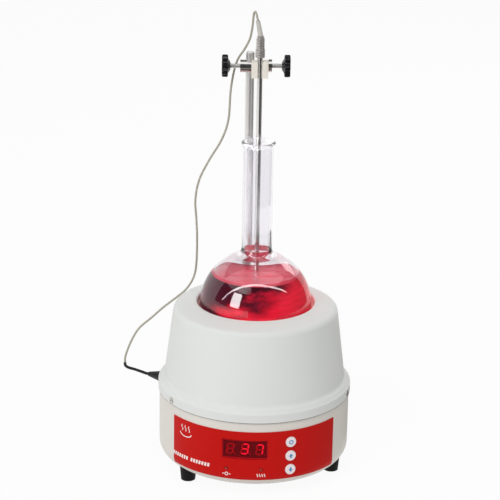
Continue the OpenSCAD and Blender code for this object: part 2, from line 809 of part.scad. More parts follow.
// Socket for the rod, shaped below to the slope of the cover
module rod_socket() {
    color([0.75, 0.75, 0.77]) difference() {
        translate([-rod_x, rod_foot_y, socket_seat_z - 6])
            cylinder(r = rod_socket_r, h = rod_socket_top - socket_seat_z + 6);
        translate([-rod_x, rod_foot_y, socket_seat_z + 2]) cylinder(r = rod_r + 0.1, h = 30);
        rotate_extrude($fn = 128) polygon(concat(cover_line, [[0, lip_z - 5], [0, seam_z]]));
    }
    color([0.75, 0.75, 0.77]) translate([-rod_x, rod_foot_y, rod_nut_z - 1])
        cylinder(r = rod_stud_r, h = socket_seat_z + 2 - rod_nut_z + 1);
}

// Nut below the cover, with a wedge washer shaped to its underside
module rod_socket_nut() {
    color([0.7, 0.7, 0.72]) {
        translate([-rod_x, rod_foot_y, rod_nut_z]) nut(13, rod_nut_t, rod_stud_r + 0.1);
        difference() {
            translate([-rod_x, rod_foot_y, rod_nut_z + rod_nut_t]) cylinder(r = 6.5, h = 14);
            translate([-rod_x, rod_foot_y, rod_nut_z]) cylinder(r = rod_stud_r + 0.1, h = 20);
            rotate_extrude($fn = 128) polygon(concat(inset(cover_line, cover_wall + 0.05),
                [[opening_r, lip_z + 20], [housing_r + 20, lip_z + 20], [housing_r + 20, seam_z]]));
        }
    }
}

// A bend of the rod, an eighth of a turn from angle a in the plane of Y and Z
module rod_bend(y, z, a) {
    translate([0, y, z]) rotate([90, 0, 90]) rotate([0, 0, a])
        rotate_extrude(angle = 45) translate([bend_r, 0]) circle(r = rod_r - bend_step);
}

// The rod goes up behind the bulb, slants over it and rises beside the neck
module support_rod() {
    slant = (rod_foot_y - rod_y) * sqrt(2) - 2 * bend_cut;
    foot_end = socket_seat_z + 2.2;
    color([0.8, 0.8, 0.82]) translate([-rod_x, 0, 0]) {
        translate([0, rod_foot_y, foot_end])
            cylinder(r = rod_r, h = rod_low_z - bend_cut - foot_end + bend_lap);
        rod_bend(rod_foot_y - bend_r, rod_low_z - bend_cut, 0);
        translate([0, rod_foot_y, rod_low_z]) rotate([45, 0, 0]) translate([0, 0, bend_cut - bend_lap])
            cylinder(r = rod_r, h = slant + 2 * bend_lap);
        rod_bend(rod_y + bend_r, rod_high_z + bend_cut, 180);
        translate([0, rod_y, rod_high_z + bend_cut - bend_lap])
            cylinder(r = rod_r, h = rod_top_z - rod_high_z - bend_cut - rod_r / 5 + bend_lap);
        translate([0, rod_y, rod_top_z - rod_r / 5]) cylinder(r1 = rod_r, r2 = rod_r * 0.8, h = rod_r / 5);
    }
}

// ---------- clamp ----------

// A cylinder along X, between two places
module across(r, x0, x1, y, z) {
    translate([x0, y, z]) rotate([0, 90, 0]) cylinder(r = r, h = x1 - x0);
}

module rod_boss() {
    color([0.82, 0.82, 0.84]) difference() {
        across(boss_r, boss_left, block_x, rod_y, clamp_z);
        translate([-rod_x, rod_y, clamp_z - 20]) cylinder(r = rod_r + bore_gap, h = 40);
        across(screw_r + bore_gap, boss_left - over, -rod_x, rod_y, clamp_z);
    }
}

module clamp_block() {
    color([0.85, 0.85, 0.84]) difference() {
        translate([-block_x, block_front, block_z]) cube([block_w, block_back - block_front, block_h]);
        across(boss_r, -block_x - over, block_x + over, rod_y, clamp_z);
        translate([0, probe_y, block_z - over]) cylinder(r = probe_r + bore_gap, h = block_h + 2 * over);
        translate([-2, block_front - over, block_z - over])
            cube([4, probe_y - block_front + over, block_h + 2 * over]);
        across(screw_r + bore_gap, 0, block_x + over, probe_y, probe_boss_z);
        translate([-rod_x, rod_y, block_z - over]) cylinder(r = rod_r + bore_gap, h = block_h + 2 * over);
    }
}

module probe_boss() {
    color([0.82, 0.82, 0.84]) difference() {
        across(boss_r, block_x, probe_boss_end, probe_y, probe_boss_z);
        across(screw_r + bore_gap, block_x - over, probe_boss_end + over, probe_y, probe_boss_z);
    }
}

// Outline of a knob with six lobes
module knob_outline() {
    circle(r = knob_r - 2.6);
    for (a = [0:60:300]) rotate([0, 0, a]) translate([knob_r - 3.1, 0]) circle(r = 3.1);
}

// A knob with a conical hub, whose axis is Z and whose hub ends at z = 0
module star_knob() {
    color([0.05, 0.05, 0.05]) {
        translate([0, 0, knob_hub]) linear_extrude(knob_t - 1.6) difference() {
            knob_outline();
            circle(r = screw_r);
        }
        translate([0, 0, knob_hub + knob_t - 1.6]) linear_extrude(1.6) knob_outline();
        difference() {
            cylinder(r1 = screw_r + 1.6, r2 = knob_r - 3.4, h = knob_hub);
            translate([0, 0, -over]) cylinder(r = screw_r, h = knob_hub + 2 * over);
        }
    }
}

module rod_screw() {
    color([0.8, 0.8, 0.82]) across(screw_r, boss_left - screw_show - knob_hub - knob_t + 1.6,
        -rod_x - rod_r - bore_gap, rod_y, clamp_z);
}

module rod_knob() {
    translate([boss_left - screw_show, rod_y, clamp_z]) rotate([0, -90, 0]) rotate([0, 0, 30]) star_knob();
}

module probe_screw() {
    color([0.8, 0.8, 0.82]) across(screw_r, probe_r + bore_gap,
        probe_boss_end + screw_show + knob_hub + knob_t - 1.6, probe_y, probe_boss_z);
}

module probe_knob() {
    translate([probe_boss_end + screw_show, probe_y, probe_boss_z]) rotate([0, 90, 0]) star_knob();
}

// ---------- probe ----------

module probe_sheath() {
    color([0.6, 0.6, 0.6]) translate([0, probe_y, probe_tip_z]) {
        sphere(r = probe_r);
        cylinder(r = probe_r, h = handle_z - probe_tip_z);
    }
}

// A turned handle: a wide collar, a ringed grip and a shoulder for the boot
module probe_handle() {
    collar = 8;
    grip_r = handle_r - 0.4;
    rings = [for (i = [0:3], k = [0:3])
        [grip_r - (k == 1 || k == 2 ? 0.25 : 0), collar + 1.2 + i * 1.9 + [0, 0.15, 0.55, 0.7][k]]];
    color([0.66, 0.66, 0.66]) translate([0, probe_y, handle_z]) rotate_extrude() polygon(concat(
        [[0, 0], [handle_r - 0.4, 0], [handle_r, 0.4], [handle_r, collar - 0.3], [grip_r, collar]],
        rings,
        [[grip_r, handle_len - 3.4], [3, handle_len], [0, handle_len]]
    ));
}

module probe_boot() {
    color([0.78, 0.78, 0.76]) translate([0, probe_y, handle_top]) rotate([0, boot_tilt, 0])
        difference() {
            translate([0, 0, -1]) cylinder(r1 = 2.4, r2 = 1.9, h = boot_len + 1);
            rotate([0, -boot_tilt, 0]) translate([-10, -10, -20]) cube([20, 20, 20]);
        }
}

module probe_socket() {
    color([0.2, 0.2, 0.2]) at_az(socket_az, socket_z) difference() {
        union() {
            outwards(5.6, housing_r, housing_r + 1.4);
            outwards(4, housing_r - 14, housing_r);
        }
        outwards(1.9, housing_r - 13, housing_r + 2 * over);
    }
}

module probe_socket_nut() {
    color([0.7, 0.7, 0.72]) at_az(socket_az, socket_z) translate([0, -(housing_r - wall - 2.9), 0])
        rotate([90, 0, 0]) nut(11, 2.4, 4.1);
}

module probe_plug() {
    face = housing_r + 1.6;
    color([0.06, 0.06, 0.06]) at_az(socket_az, socket_z) {
        outwards(1.7, housing_r - 11, face);
        outwards(plug_r, face, face + plug_len * 0.45);
        translate([0, -face - plug_len * 0.45, 0]) rotate([90, 0, 0])
            cylinder(r1 = plug_r, r2 = sleeve_r + 0.8, h = plug_len * 0.55);
    }
}

// ---------- cable ----------

// A point of a smooth curve through the route, t stretches along it
function on_route(p, t) =
    let (
        i = min(floor(t), len(p) - 2),
        u = t - i,
        a = p[max(i - 1, 0)],
        b = p[i],
        c = p[i + 1],
        d = p[min(i + 2, len(p) - 1)]
    )
    0.5 * (2 * b + (c - a) * u + (2 * a - 5 * b + 4 * c - d) * u * u
        + (3 * b - a - 3 * c + d) * u * u * u);

// Circles of points across the route, with an even number of rings
function rings_along(p, r, count, sides) =
    [for (i = [0:count])
        let (
            t = (len(p) - 1) * i / count,
            at = on_route(p, t),
            way = on_route(p, min(t + 0.01, len(p) - 1)) - on_route(p, max(t - 0.01, 0)),
            dir = way / norm(way),
            side = cross(dir, [0.2, 1, 0.1]),
            s = side / norm(side),
            n = cross(dir, s)
        )
        for (k = [0:sides - 1]) at + r * (cos(360 * k / sides) * s + sin(360 * k / sides) * n)];

module tube(p, r, count, sides) {
    wall_faces = [for (i = [0:count - 1], k = [0:sides - 1]) let (j = (k + 1) % sides)
        [i * sides + k, i * sides + j, (i + 1) * sides + j, (i + 1) * sides + k]];
    ends = [[for (k = [sides - 1:-1:0]) k], [for (k = [0:sides - 1]) count * sides + k]];
    polyhedron(points = rings_along(p, r, count, sides), faces = concat(wall_faces, ends));
}

module probe_cable() {
    color([0.72, 0.71, 0.66]) tube(cable_route, cable_r, 70, 8);
}

module cable_sleeve() {
    color([0.07, 0.07, 0.07]) tube(sleeve_route, sleeve_r, 9, 8);
}

lower_housing();
upper_cover();
cover_screws();
foot(foot_az[0]);  // front_left_foot
foot(foot_az[1]);  // front_right_foot
foot(foot_az[2]);  // rear_foot
foot_screws();
foot_nuts();
control_panel();
display_window();
display_board();
display_module();
lamp(lamp_x[0]);  // set_lamp
lamp(lamp_x[1]);  // heat_lamp
key_board();
key_switches();
key(1);  // set_key
key(0);  // up_key
key(-1);  // down_key
power_board();
board_standoffs();
transformer();
triac_heatsink();
terminal_block();
rear_plate();
power_inlet();
inlet_pins();
fuse_holder();
switch_body();
power_rocker();
heat_shield();
support_pillars();
pillar_nuts();
inner_bowl();
insulation();
heating_cup();
flask();
liquid();
rod_socket();
rod_socket_nut();
support_rod();
rod_boss();
clamp_block();
probe_boss();
rod_screw();
rod_knob();
probe_screw();
probe_knob();
probe_sheath();
probe_handle();
probe_boot();
probe_socket();
probe_socket_nut();
probe_plug();
cable_sleeve();
probe_cable();
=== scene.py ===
import math

import bmesh
import bpy
from mathutils import Matrix, Vector


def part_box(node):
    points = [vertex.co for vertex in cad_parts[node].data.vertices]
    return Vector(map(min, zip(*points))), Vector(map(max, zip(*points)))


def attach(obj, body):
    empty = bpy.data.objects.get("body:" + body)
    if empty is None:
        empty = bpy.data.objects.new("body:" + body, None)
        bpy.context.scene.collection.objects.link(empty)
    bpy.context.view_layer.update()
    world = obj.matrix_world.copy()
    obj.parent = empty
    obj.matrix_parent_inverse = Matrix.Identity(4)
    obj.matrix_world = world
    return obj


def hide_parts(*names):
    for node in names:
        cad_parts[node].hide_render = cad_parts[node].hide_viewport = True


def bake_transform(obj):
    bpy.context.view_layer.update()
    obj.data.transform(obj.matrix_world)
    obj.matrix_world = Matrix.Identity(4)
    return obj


bl_info = {
    "name": "Heating Mantle Looks",
    "version": (1, 0, 0),
    "blender": (4, 5, 0),
    "location": "View3D > Sidebar > Heating Mantle",
    "description": "Finishes for a heating mantle with its flask, clamp, rod and probe",
    "category": "Object",
}

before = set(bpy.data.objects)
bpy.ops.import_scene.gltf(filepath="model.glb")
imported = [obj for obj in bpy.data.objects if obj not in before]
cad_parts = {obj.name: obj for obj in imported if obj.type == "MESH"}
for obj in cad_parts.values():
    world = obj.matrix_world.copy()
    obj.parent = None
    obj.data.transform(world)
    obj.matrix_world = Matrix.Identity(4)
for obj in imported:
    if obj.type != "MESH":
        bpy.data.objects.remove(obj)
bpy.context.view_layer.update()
MM = 0.001


def srgb(r, g, b):
    """A colour written as it looks on a screen, as the shader wants it."""
    def straight(v):
        v = v / 255
        return v / 12.92 if v <= 0.04045 else ((v + 0.055) / 1.055) ** 2.4
    return (straight(r), straight(g), straight(b), 1.0)


# ---------- sizes that the solids have, in millimetres ----------

HOUSING_R = 90.0
PANEL_R = 90.6
FLASK_R = 52.5
FLASK_Z = 158.6
GLASS = 1.6
NECK_FILLET = 9.0
RIM_BEAD = 1.6
# Where the neck was joined on, the wall is up to twice as thick, over so much height below and above
JOINT_Z, JOINT_BELOW, JOINT_ABOVE = 210.6, 4.6, 2.6
CUP_IN, CUP_OUT = 54.4, 56.9
NECK_R = 14.0
RIM_Z = 317.0
RIM_R = 15.8
WINDOW_AZ = -5.0
KEY_AZ = 22.3
WINDOW_Z = 49.1
LAMP_Z = 29.5
LAMP_X = (-16.8, 15.4)
KEY_Z = 41.6
KEY_PITCH = 13.7
KEY_FACE = 91.7
LIQUID_TOP = FLASK_Z + 32
PROBE_Y = 7.0
CLAMP_Z = 383.0
PROBE_BOSS_Z = 386.4
ROD_Y = 18.5
KNOB_R, KNOB_T, KNOB_HUB, SCREW_R = 10.5, 5.6, 2.2, 2.0
LEFT_KNOB_X, RIGHT_KNOB_X = -27.0, 19.8
THREAD_LONG = 8.4
# Axis, radius and resting tilt of the rocker
ROCKER, ROCKER_R, ROCKER_TILT = (17.0, 77.26, 39.5), 7.6, 8
# Face of the display, distance between digits, half a digit's width and height, and its lean
DIGIT_FACE, DIGIT_PITCH, DIGIT_W, DIGIT_H, DIGIT_LEAN = 87.84, 13.5, 2.9, 4.8, 8
PRINT_THICK = 0.05
# Where the camera looks, how many metres off it stands, and its angles down and to the side in radians
AIM, AIM_FROM, LOOK_DOWN, LOOK_LEAN = (-6.2, 0, 211.95), 1.8639, 0.3274, 0.0175

CABLE_ROUTE = [
    (-2.75, 7, 428.1), (-3.3, 7.3, 430.8), (-4, 8.8, 433.4), (-5, 11.8, 434.8), (-6, 14.8, 433.6),
    (-6.6, 16.8, 430.4), (-7, 18.2, 425), (-7.8, 20.6, 417), (-9.8, 22.8, 407), (-14.6, 24.4, 397),
    (-20, 26, 388.2), (-23.6, 28.5, 376.2), (-26.6, 31.5, 356.5), (-28.4, 33, 328),
    (-34.6, 34, 308.3), (-45.6, 35.6, 288.6), (-55, 37, 268.5), (-58.6, 39, 248),
    (-57.6, 41, 228), (-56.8, 43, 208), (-57.4, 46, 182), (-60, 48, 167),
    (-67, 49, 154.5), (-77, 50, 145), (-89, 50, 135), (-100, 50, 124.5),
    (-112, 50, 113.5), (-118.5, 50, 103), (-123, 50, 92.5), (-126, 50, 83),
    (-126.4, 50, 77),
]
SLEEVE_ROUTE = [
    (-126.4, 50, 77), (-126, 50.2, 73.6), (-123, 50.6, 71.2), (-117.5, 50.6, 69.6),
    (-110.5, 49.6, 67.6), (-106, 48.7, 66.3), (-103, 48, 66),
]


# ---------- settings that a user would change ----------

def colour(name, description, value):
    return bpy.props.FloatVectorProperty(
        name=name, description=description, default=value[:3], size=3, min=0, max=1, subtype="COLOR")


def size(name, description, value, low=0.0, high=1000.0):
    return bpy.props.FloatProperty(name=name, description=description, default=value, min=low, max=high)


class MANTLE_PG_housing(bpy.types.PropertyGroup):
    cover: colour("Cover", "Enamel of the cover", srgb(229, 231, 228))
    housing: colour("Housing", "Enamel of the lower housing", srgb(229, 224, 216))
    grain: size("Grain", "Depth of the enamel's fine texture", 0.08, 0, 1)
    foot: colour("Feet", "Rubber of the feet", srgb(13, 13, 13))


class MANTLE_PG_panel(bpy.types.PropertyGroup):
    print_red: colour("Panel", "Printed red of the control panel", srgb(200, 14, 8))
    mark: colour("Marks", "Printed marks", srgb(250, 235, 232))
    window: colour("Window", "Tint of the display window", srgb(216, 54, 72))
    lit: colour("Lit bars", "Lit bars of the digits", srgb(255, 110, 170))
    unlit: colour("Unlit bars", "Unlit bars of the digits", srgb(236, 150, 150))
    text: bpy.props.StringProperty(
        name="Digits", description="Digits on the display, a space is unlit", default=" 37")
    key: colour("Keys", "Faces of the keys", srgb(250, 238, 240))
    sign: colour("Key signs", "Signs on the keys", srgb(70, 150, 205))


class MANTLE_PG_flask(bpy.types.PropertyGroup):
    glass: colour("Glass", "Tint of the glass", srgb(250, 249, 252))
    liquid: colour("Liquid", "Tint of the liquid", srgb(255, 40, 74))
    surface: colour("Surface", "Colour of the liquid's surface", srgb(206, 66, 92))
    knit: colour("Knitting", "Yarn of the heating cup", srgb(236, 228, 216))
    rows: bpy.props.IntProperty(
        name="Rows", description="Rows of knitting in the cup", default=15, min=8, max=24)
    stitches: bpy.props.IntProperty(
        name="Stitches", description="Stitches in each row", default=64, min=30, max=90)


class MANTLE_PG_metal(bpy.types.PropertyGroup):
    steel: colour("Steel", "Polished steel of rod and bosses", srgb(240, 238, 236))
    block: colour("Block", "Satin aluminium of the clamp block", srgb(250, 244, 233))
    knob: colour("Knobs", "Moulded black of the knobs", srgb(13, 13, 16))
    thread_pitch: size("Pitch", "Pitch of the thumbscrews' threads, in millimetres", 0.7, 0.4, 1.5)


class MANTLE_PG_cable(bpy.types.PropertyGroup):
    jacket: colour("Jacket", "Jacket of the probe's cable", srgb(176, 171, 156))
    boot: colour("Boot", "Moulded boot of the probe", srgb(196, 192, 186))
    sleeve: colour("Sleeve", "Sleeve and plug", srgb(20, 20, 20))
    diameter: size("Diameter", "Diameter of the cable, in millimetres", 2.0, 1, 3)


class MANTLE_PG_stage(bpy.types.PropertyGroup):
    ambient: size("Ambient", "Strength of the soft light from all round", 0.52, 0, 2)
    key: bpy.props.FloatProperty(
        name="Key lamp", description="Power of the large lamp", default=19, min=0, max=500, subtype="POWER")
    lens: bpy.props.FloatProperty(
        name="Lens", description="Focal length of the camera", default=144, min=20, max=400,
        subtype="DISTANCE_CAMERA")


SETTINGS = {
    "mantle_housing": MANTLE_PG_housing,
    "mantle_panel": MANTLE_PG_panel,
    "mantle_flask": MANTLE_PG_flask,
    "mantle_metal": MANTLE_PG_metal,
    "mantle_cable": MANTLE_PG_cable,
    "mantle_stage": MANTLE_PG_stage,
}


def rgba(c):
    return (c[0], c[1], c[2], 1.0)


# ---------- shared shader effects ----------

def effect_group(name, inputs, outputs):
    """A node group for shaders with named sockets, and its input and output nodes."""
    group = bpy.data.node_groups.new(name, "ShaderNodeTree")
    for label, kind, value in inputs:
        socket = group.interface.new_socket(name=label, in_out="INPUT", socket_type=kind)
        socket.default_value = value
    for label, kind in outputs:
        group.interface.new_socket(name=label, in_out="OUTPUT", socket_type=kind)
    return group, group.nodes.new("NodeGroupInput"), group.nodes.new("NodeGroupOutput")


def math_node(tree, operation, a, b=0.0, clamp=False):
    """The result of one sum, from sockets or plain numbers."""
    node = tree.nodes.new("ShaderNodeMath")
    node.operation = operation
    node.use_clamp = clamp
    for i, value in enumerate((a, b)):
        if isinstance(value, (int, float)):
            node.inputs[i].default_value = value
        else:
            tree.links.new(value, node.inputs[i])
    return node.outputs[0]


def mix_colour(tree, share, a, b, kind="MIX"):
    """Two colours mixed, from sockets or plain values."""
    node = tree.nodes.new("ShaderNodeMix")
    node.data_type = "RGBA"
    node.blend_type = kind
    for socket, value in ((node.inputs[0], share), (node.inputs[6], a), (node.inputs[7], b)):
        if isinstance(value, (int, float, tuple)):
            socket.default_value = value
        else:
            tree.links.new(value, socket)
    return node.outputs[2]


def object_noise(tree, scale, detail=3.0, stretch=None):
    """Noise on object coordinates, at so many bumps to the metre."""
    place = tree.nodes.new("ShaderNodeTexCoord")
    noise = tree.nodes.new("ShaderNodeTexNoise")
    noise.inputs["Detail"].default_value = detail
    vector = place.outputs["Object"]
    if stretch is not None:
        mapping = tree.nodes.new("ShaderNodeMapping")
        tree.links.new(vector, mapping.inputs["Vector"])
        if isinstance(stretch, tuple):
            mapping.inputs["Scale"].default_value = stretch
        else:
            tree.links.new(stretch, mapping.inputs["Scale"])
        vector = mapping.outputs["Vector"]
    tree.links.new(vector, noise.inputs["Vector"])
    if isinstance(scale, (int, float)):
        noise.inputs["Scale"].default_value = scale
    else:
        tree.links.new(scale, noise.inputs["Scale"])
    return noise.outputs[0]


def swing(tree, noise, share):
    """Noise as a change up and down, of half the share at most."""
    return math_node(tree, "MULTIPLY", math_node(tree, "SUBTRACT", noise, 0.5), share)


def toned(tree, colour_socket, shade):
    """A colour made lighter or darker by a factor."""
    grey = tree.nodes.new("ShaderNodeCombineColor")
    for i in range(3):
        tree.links.new(shade, grey.inputs[i])
    return mix_colour(tree, 1.0, colour_socket, grey.outputs[0], "MULTIPLY")


def make_fine_grain():
    """Moulded or sprayed surface: a fine texture, and slow changes of tone and gloss."""
    group, given, result = effect_group("fine_grain", [
        ("Color", "NodeSocketColor", (0.8, 0.8, 0.8, 1)),
        ("Scale", "NodeSocketFloat", 900.0),
        ("Spread", "NodeSocketFloat", 0.06),
        ("Gloss", "NodeSocketFloat", 0.4),
        ("Uneven", "NodeSocketFloat", 0.1),
    ], [("Color", "NodeSocketColor"), ("Roughness", "NodeSocketFloat"), ("Height", "NodeSocketFloat")])
    fine = object_noise(group, given.outputs["Scale"], 4)
    slow = object_noise(group, 26.0, 2)
    tone, speck = (swing(group, noise, given.outputs["Spread"]) for noise in (slow, fine))
    shade = math_node(group, "ADD", math_node(group, "ADD", tone, speck), 1.0)
    group.links.new(toned(group, given.outputs["Color"], shade), result.inputs["Color"])
    uneven = swing(group, slow, given.outputs["Uneven"])
    group.links.new(math_node(group, "ADD", uneven, given.outputs["Gloss"], True), result.inputs["Roughness"])
    group.links.new(fine, result.inputs["Height"])
    return group


def make_drawn_lines():
    """Drawn, turned or brushed metal: fine lines stretched one way, with faint bands."""
    group, given, result = effect_group("drawn_lines", [
        ("Color", "NodeSocketColor", (0.8, 0.8, 0.8, 1)),
        ("Scale", "NodeSocketFloat", 500.0),
        ("Stretch", "NodeSocketVector", (1.0, 1.0, 0.03)),
        ("Gloss", "NodeSocketFloat", 0.2),
        ("Uneven", "NodeSocketFloat", 0.15),
    ], [("Color", "NodeSocketColor"), ("Roughness", "NodeSocketFloat"), ("Height", "NodeSocketFloat")])
    lines = object_noise(group, given.outputs["Scale"], 3, given.outputs["Stretch"])
    smudge = object_noise(group, 60.0, 3)
    off, soft = (swing(group, noise, given.outputs["Uneven"]) for noise in (lines, smudge))
    rough = math_node(group, "ADD", math_node(group, "ADD", off, soft), given.outputs["Gloss"], True)
    dark = math_node(group, "SUBTRACT", 1.0, math_node(group, "MULTIPLY", smudge, 0.12))
    group.links.new(toned(group, given.outputs["Color"], dark), result.inputs["Color"])
    group.links.new(rough, result.inputs["Roughness"])
    group.links.new(lines, result.inputs["Height"])
    return group


def effect(name):
    """The shared effect of that name, built once."""
    makers = {"fine_grain": make_fine_grain, "drawn_lines": make_drawn_lines}
    return bpy.data.node_groups.get(name) or makers[name]()


# ---------- materials ----------

def new_material(name):
    """A material with its tree and its Principled shader."""
    material = bpy.data.materials.new(name)
    material.use_nodes = True
    tree = material.node_tree
    return material, tree, principled(tree)


def principled(tree):
    return next(n for n in tree.nodes if n.type == "BSDF_PRINCIPLED")


def bare_material(name):
    """A material with an empty tree, for the stage."""
    material = bpy.data.materials.new(name)
    material.use_nodes = True
    material.node_tree.nodes.clear()
    return material, material.node_tree


def blend_shaders(tree, share, a, b):
    """Sends a blend of two shaders to the surface."""
    blend = tree.nodes.new("ShaderNodeMixShader")
    for i, socket in enumerate((share, a.outputs[0], b.outputs[0])):
        tree.links.new(socket, blend.inputs[i])
    out = next((n for n in tree.nodes if n.type == "OUTPUT_MATERIAL"), None)
    out = out or tree.nodes.new("ShaderNodeOutputMaterial")
    tree.links.new(blend.outputs[0], out.inputs["Surface"])


def lamps_through(tree, shader, tint):
    """Lets light from the lamps through a clear piece, in its tint."""
    clear = tree.nodes.new("ShaderNodeBsdfTransparent")
    clear.inputs["Color"].default_value = tint
    blend_shaders(tree, tree.nodes.new("ShaderNodeLightPath").outputs["Is Shadow Ray"], shader, clear)


def add_bump(tree, shader, height, strength, distance):
    """Bumps from a height, with their depth in metres."""
    bump = tree.nodes.new("ShaderNodeBump")
    bump.inputs["Strength"].default_value = strength
    bump.inputs["Distance"].default_value = distance
    tree.links.new(height, bump.inputs["Height"])
    tree.links.new(bump.outputs["Normal"], shader.inputs["Normal"])


def object_split(tree):
    """Object coordinates, and X, Y and Z of them."""
    place = tree.nodes.new("ShaderNodeTexCoord").outputs["Object"]
    split = tree.nodes.new("ShaderNodeSeparateXYZ")
    tree.links.new(place, split.inputs[0])
    return place, split.outputs


def finish(name, group, colour_value, bump=0.1, bump_size=0.0002, metallic=0.0, constants=None, **values):
    """A Principled material whose colour, gloss and bump come from one of the shared effects."""
    known = bpy.data.materials.get(name)
    if known:
        return known
    material, tree, shader = new_material(name)
    use = tree.nodes.new("ShaderNodeGroup")
    use.node_tree = effect(group)
    use.inputs["Color"].default_value = rgba(colour_value)
    for label, value in values.items():
        use.inputs[label].default_value = value
    tree.links.new(use.outputs["Color"], shader.inputs["Base Color"])
    tree.links.new(use.outputs["Roughness"], shader.inputs["Roughness"])
    if bump:
        add_bump(tree, shader, use.outputs["Height"], bump, bump_size)
    shader.inputs["Metallic"].default_value = metallic
    for label, value in (constants or {}).items():
        shader.inputs[label].default_value = value
    material.diffuse_color = rgba(colour_value)
    return material


def plastic(name, c, gloss=0.4, scale=900.0, bump=0.12, constants=None):
    return finish(name, "fine_grain", c, bump, 0.00015, constants=constants, Scale=scale, Spread=0.08,
                  Gloss=gloss, Uneven=0.12)


def metal(name, c, gloss=0.2, stretch=(1.0, 1.0, 0.03), scale=500.0, bump=0.05, uneven=0.12, share=1.0):
    return finish(name, "drawn_lines", c, bump, 0.0001, share, Scale=scale, Stretch=stretch, Gloss=gloss,
                  Uneven=uneven)


def dress(node, material):
    """Gives a solid its finish."""
    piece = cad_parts[node]
    if not piece.material_slots:
        piece.data.materials.append(material)
    for s in piece.material_slots:
        s.material = material
    return piece


# ---------- meshes ----------

def arc(c, r, a0, a1, n):
    """Points along an arc, from angle a0 to a1 in degrees."""
    return [(c[0] + r * math.cos(math.radians(a0 + (a1 - a0) * i / n)),
             c[1] + r * math.sin(math.radians(a0 + (a1 - a0) * i / n))) for i in range(n + 1)]


def ring_line(x, y, r, step):
    """Points round a circle, so many degrees apart."""
    turns = [math.radians(a) for a in range(0, 360, step)]
    return [(x + r * math.cos(t), y + r * math.sin(t)) for t in turns]


def inset(line, d):
    """The same outline, moved by d to its left."""
    made = []
    last = len(line) - 1

    def left(a, b):
        v = (Vector(b) - Vector(a)).normalized()
        return Vector((-v.y, v.x))

    for i, p in enumerate(line):
        before = left(line[max(i - 1, 0)], line[max(i, 1)])
        after = left(line[min(i, last - 1)], line[min(i + 1, last)])
        q = Vector(p) + d * (before + after) / (1 + before.dot(after))
        made.append((max(q.x, 0.0), q.y))
    return made


def solid_mesh(name, points, faces, materials, body="root", replaces=(), smooth=True,
               face_material=None):
    """A finished piece from points in millimetres."""
    mesh = bpy.data.meshes.new(name)
    mesh.from_pydata([tuple(c * MM for c in p) for p in points], [], faces)
    for m in materials:
        mesh.materials.append(m)
    if face_material:
        for polygon in mesh.polygons:
            polygon.material_index = face_material(polygon)
    work = bmesh.new()
    work.from_mesh(mesh)
    bmesh.ops.remove_doubles(work, verts=work.verts, dist=1e-7)
    bmesh.ops.recalc_face_normals(work, faces=work.faces)
    work.to_mesh(mesh)
    work.free()
    mesh.polygons.foreach_set("use_smooth", [smooth] * len(mesh.polygons))
    mesh.update()
    return place_piece(name, mesh, body, replaces)


def add_object(name, data):
    """An object in the scene, at the origin."""
    made = bpy.data.objects.new(name, data)
    bpy.context.scene.collection.objects.link(made)
    return made


def place_piece(name, mesh, body, replaces=()):
    """A finished piece with its body and the solids it stands for."""
    piece = add_object(name, mesh)
    if body:
        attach(piece, body)
    if replaces:
        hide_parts(*replaces)
    return piece


def turned(line, sides, closed=False):
    """Points and faces of an outline of radius and height turned round Z; a point on the axis closes it."""
    points, rows = [], []
    for r, z in line:
        if r < 1e-6:
            rows.append([len(points)])
            points.append((0.0, 0.0, z))
            continue
        rows.append(list(range(len(points), len(points) + sides)))
        for k in range(sides):
            a = 2 * math.pi * k / sides
            points.append((r * math.cos(a), r * math.sin(a), z))
    faces = []
    pairs = list(zip(rows, rows[1:])) + ([(rows[-1], rows[0])] if closed else [])
    for low, high in pairs:
        if len(low) == 1 and len(high) == 1:
            continue
        for k in range(sides):
            j = (k + 1) % sides
            if len(low) == 1:
                faces.append((low[0], high[j], high[k]))
            elif len(high) == 1:
                faces.append((low[k], low[j], high[0]))
            else:
                faces.append((low[k], low[j], high[j], high[k]))
    return points, faces


def creased(piece, angle=35):
    """Keeps sharp edges sharp on a smooth mesh."""
    piece.data.set_sharp_from_angle(angle=math.radians(angle))
    return piece


def along_route(route, steps):
    """Points on a smooth curve through the route, as the solid's cable has them."""
    p = [Vector(v) for v in route]
    made = []
    for i in range(len(p) - 1):
        a, b, c, d = p[max(i - 1, 0)], p[i], p[i + 1], p[min(i + 2, len(p) - 1)]
        for s in range(steps):
            u = s / steps
            made.append(0.5 * (2 * b + (c - a) * u + (2 * a - 5 * b + 4 * c - d) * u * u
                               + (3 * b - a - 3 * c + d) * u ** 3))
    made.append(p[-1])
    return made


def skin(rings, sides):
    """Faces of a closed skin over so many rings of points."""
    faces = []
    for i in range(rings - 1):
        for k in range(sides):
            j = (k + 1) % sides
            faces.append((i * sides + k, i * sides + j, (i + 1) * sides + j, (i + 1) * sides + k))
    return faces + [tuple(reversed(range(sides))), tuple((rings - 1) * sides + k for k in range(sides))]


def tube(path, radius, sides=14, radii=None):
    """Points and faces of a closed tube along a path, with no twist."""
    ways = [(path[min(i + 1, len(path) - 1)] - path[max(i - 1, 0)]).normalized() for i in range(len(path))]
    side = ways[0].cross(Vector((0.2, 1, 0.1))).normalized()
    points = []
    for i, (at, way) in enumerate(zip(path, ways)):
        side = (side - way * side.dot(way)).normalized()
        up = way.cross(side)
        r = radii[i] if radii else radius
        for k in range(sides):
            a = 2 * math.pi * k / sides
            points.append(tuple(at + r * (math.cos(a) * side + math.sin(a) * up)))
    return points, skin(len(path), sides)


def on_wall(azimuth, z, base, thick):
    """Places flat marks on a round wall: x along it, y up, h from its base to its top."""
    def place(x, y, h):
        a = math.radians(azimuth) + x / base
        r = base + thick * h
        return (r * math.sin(a), -r * math.cos(a), z + y)
    return place


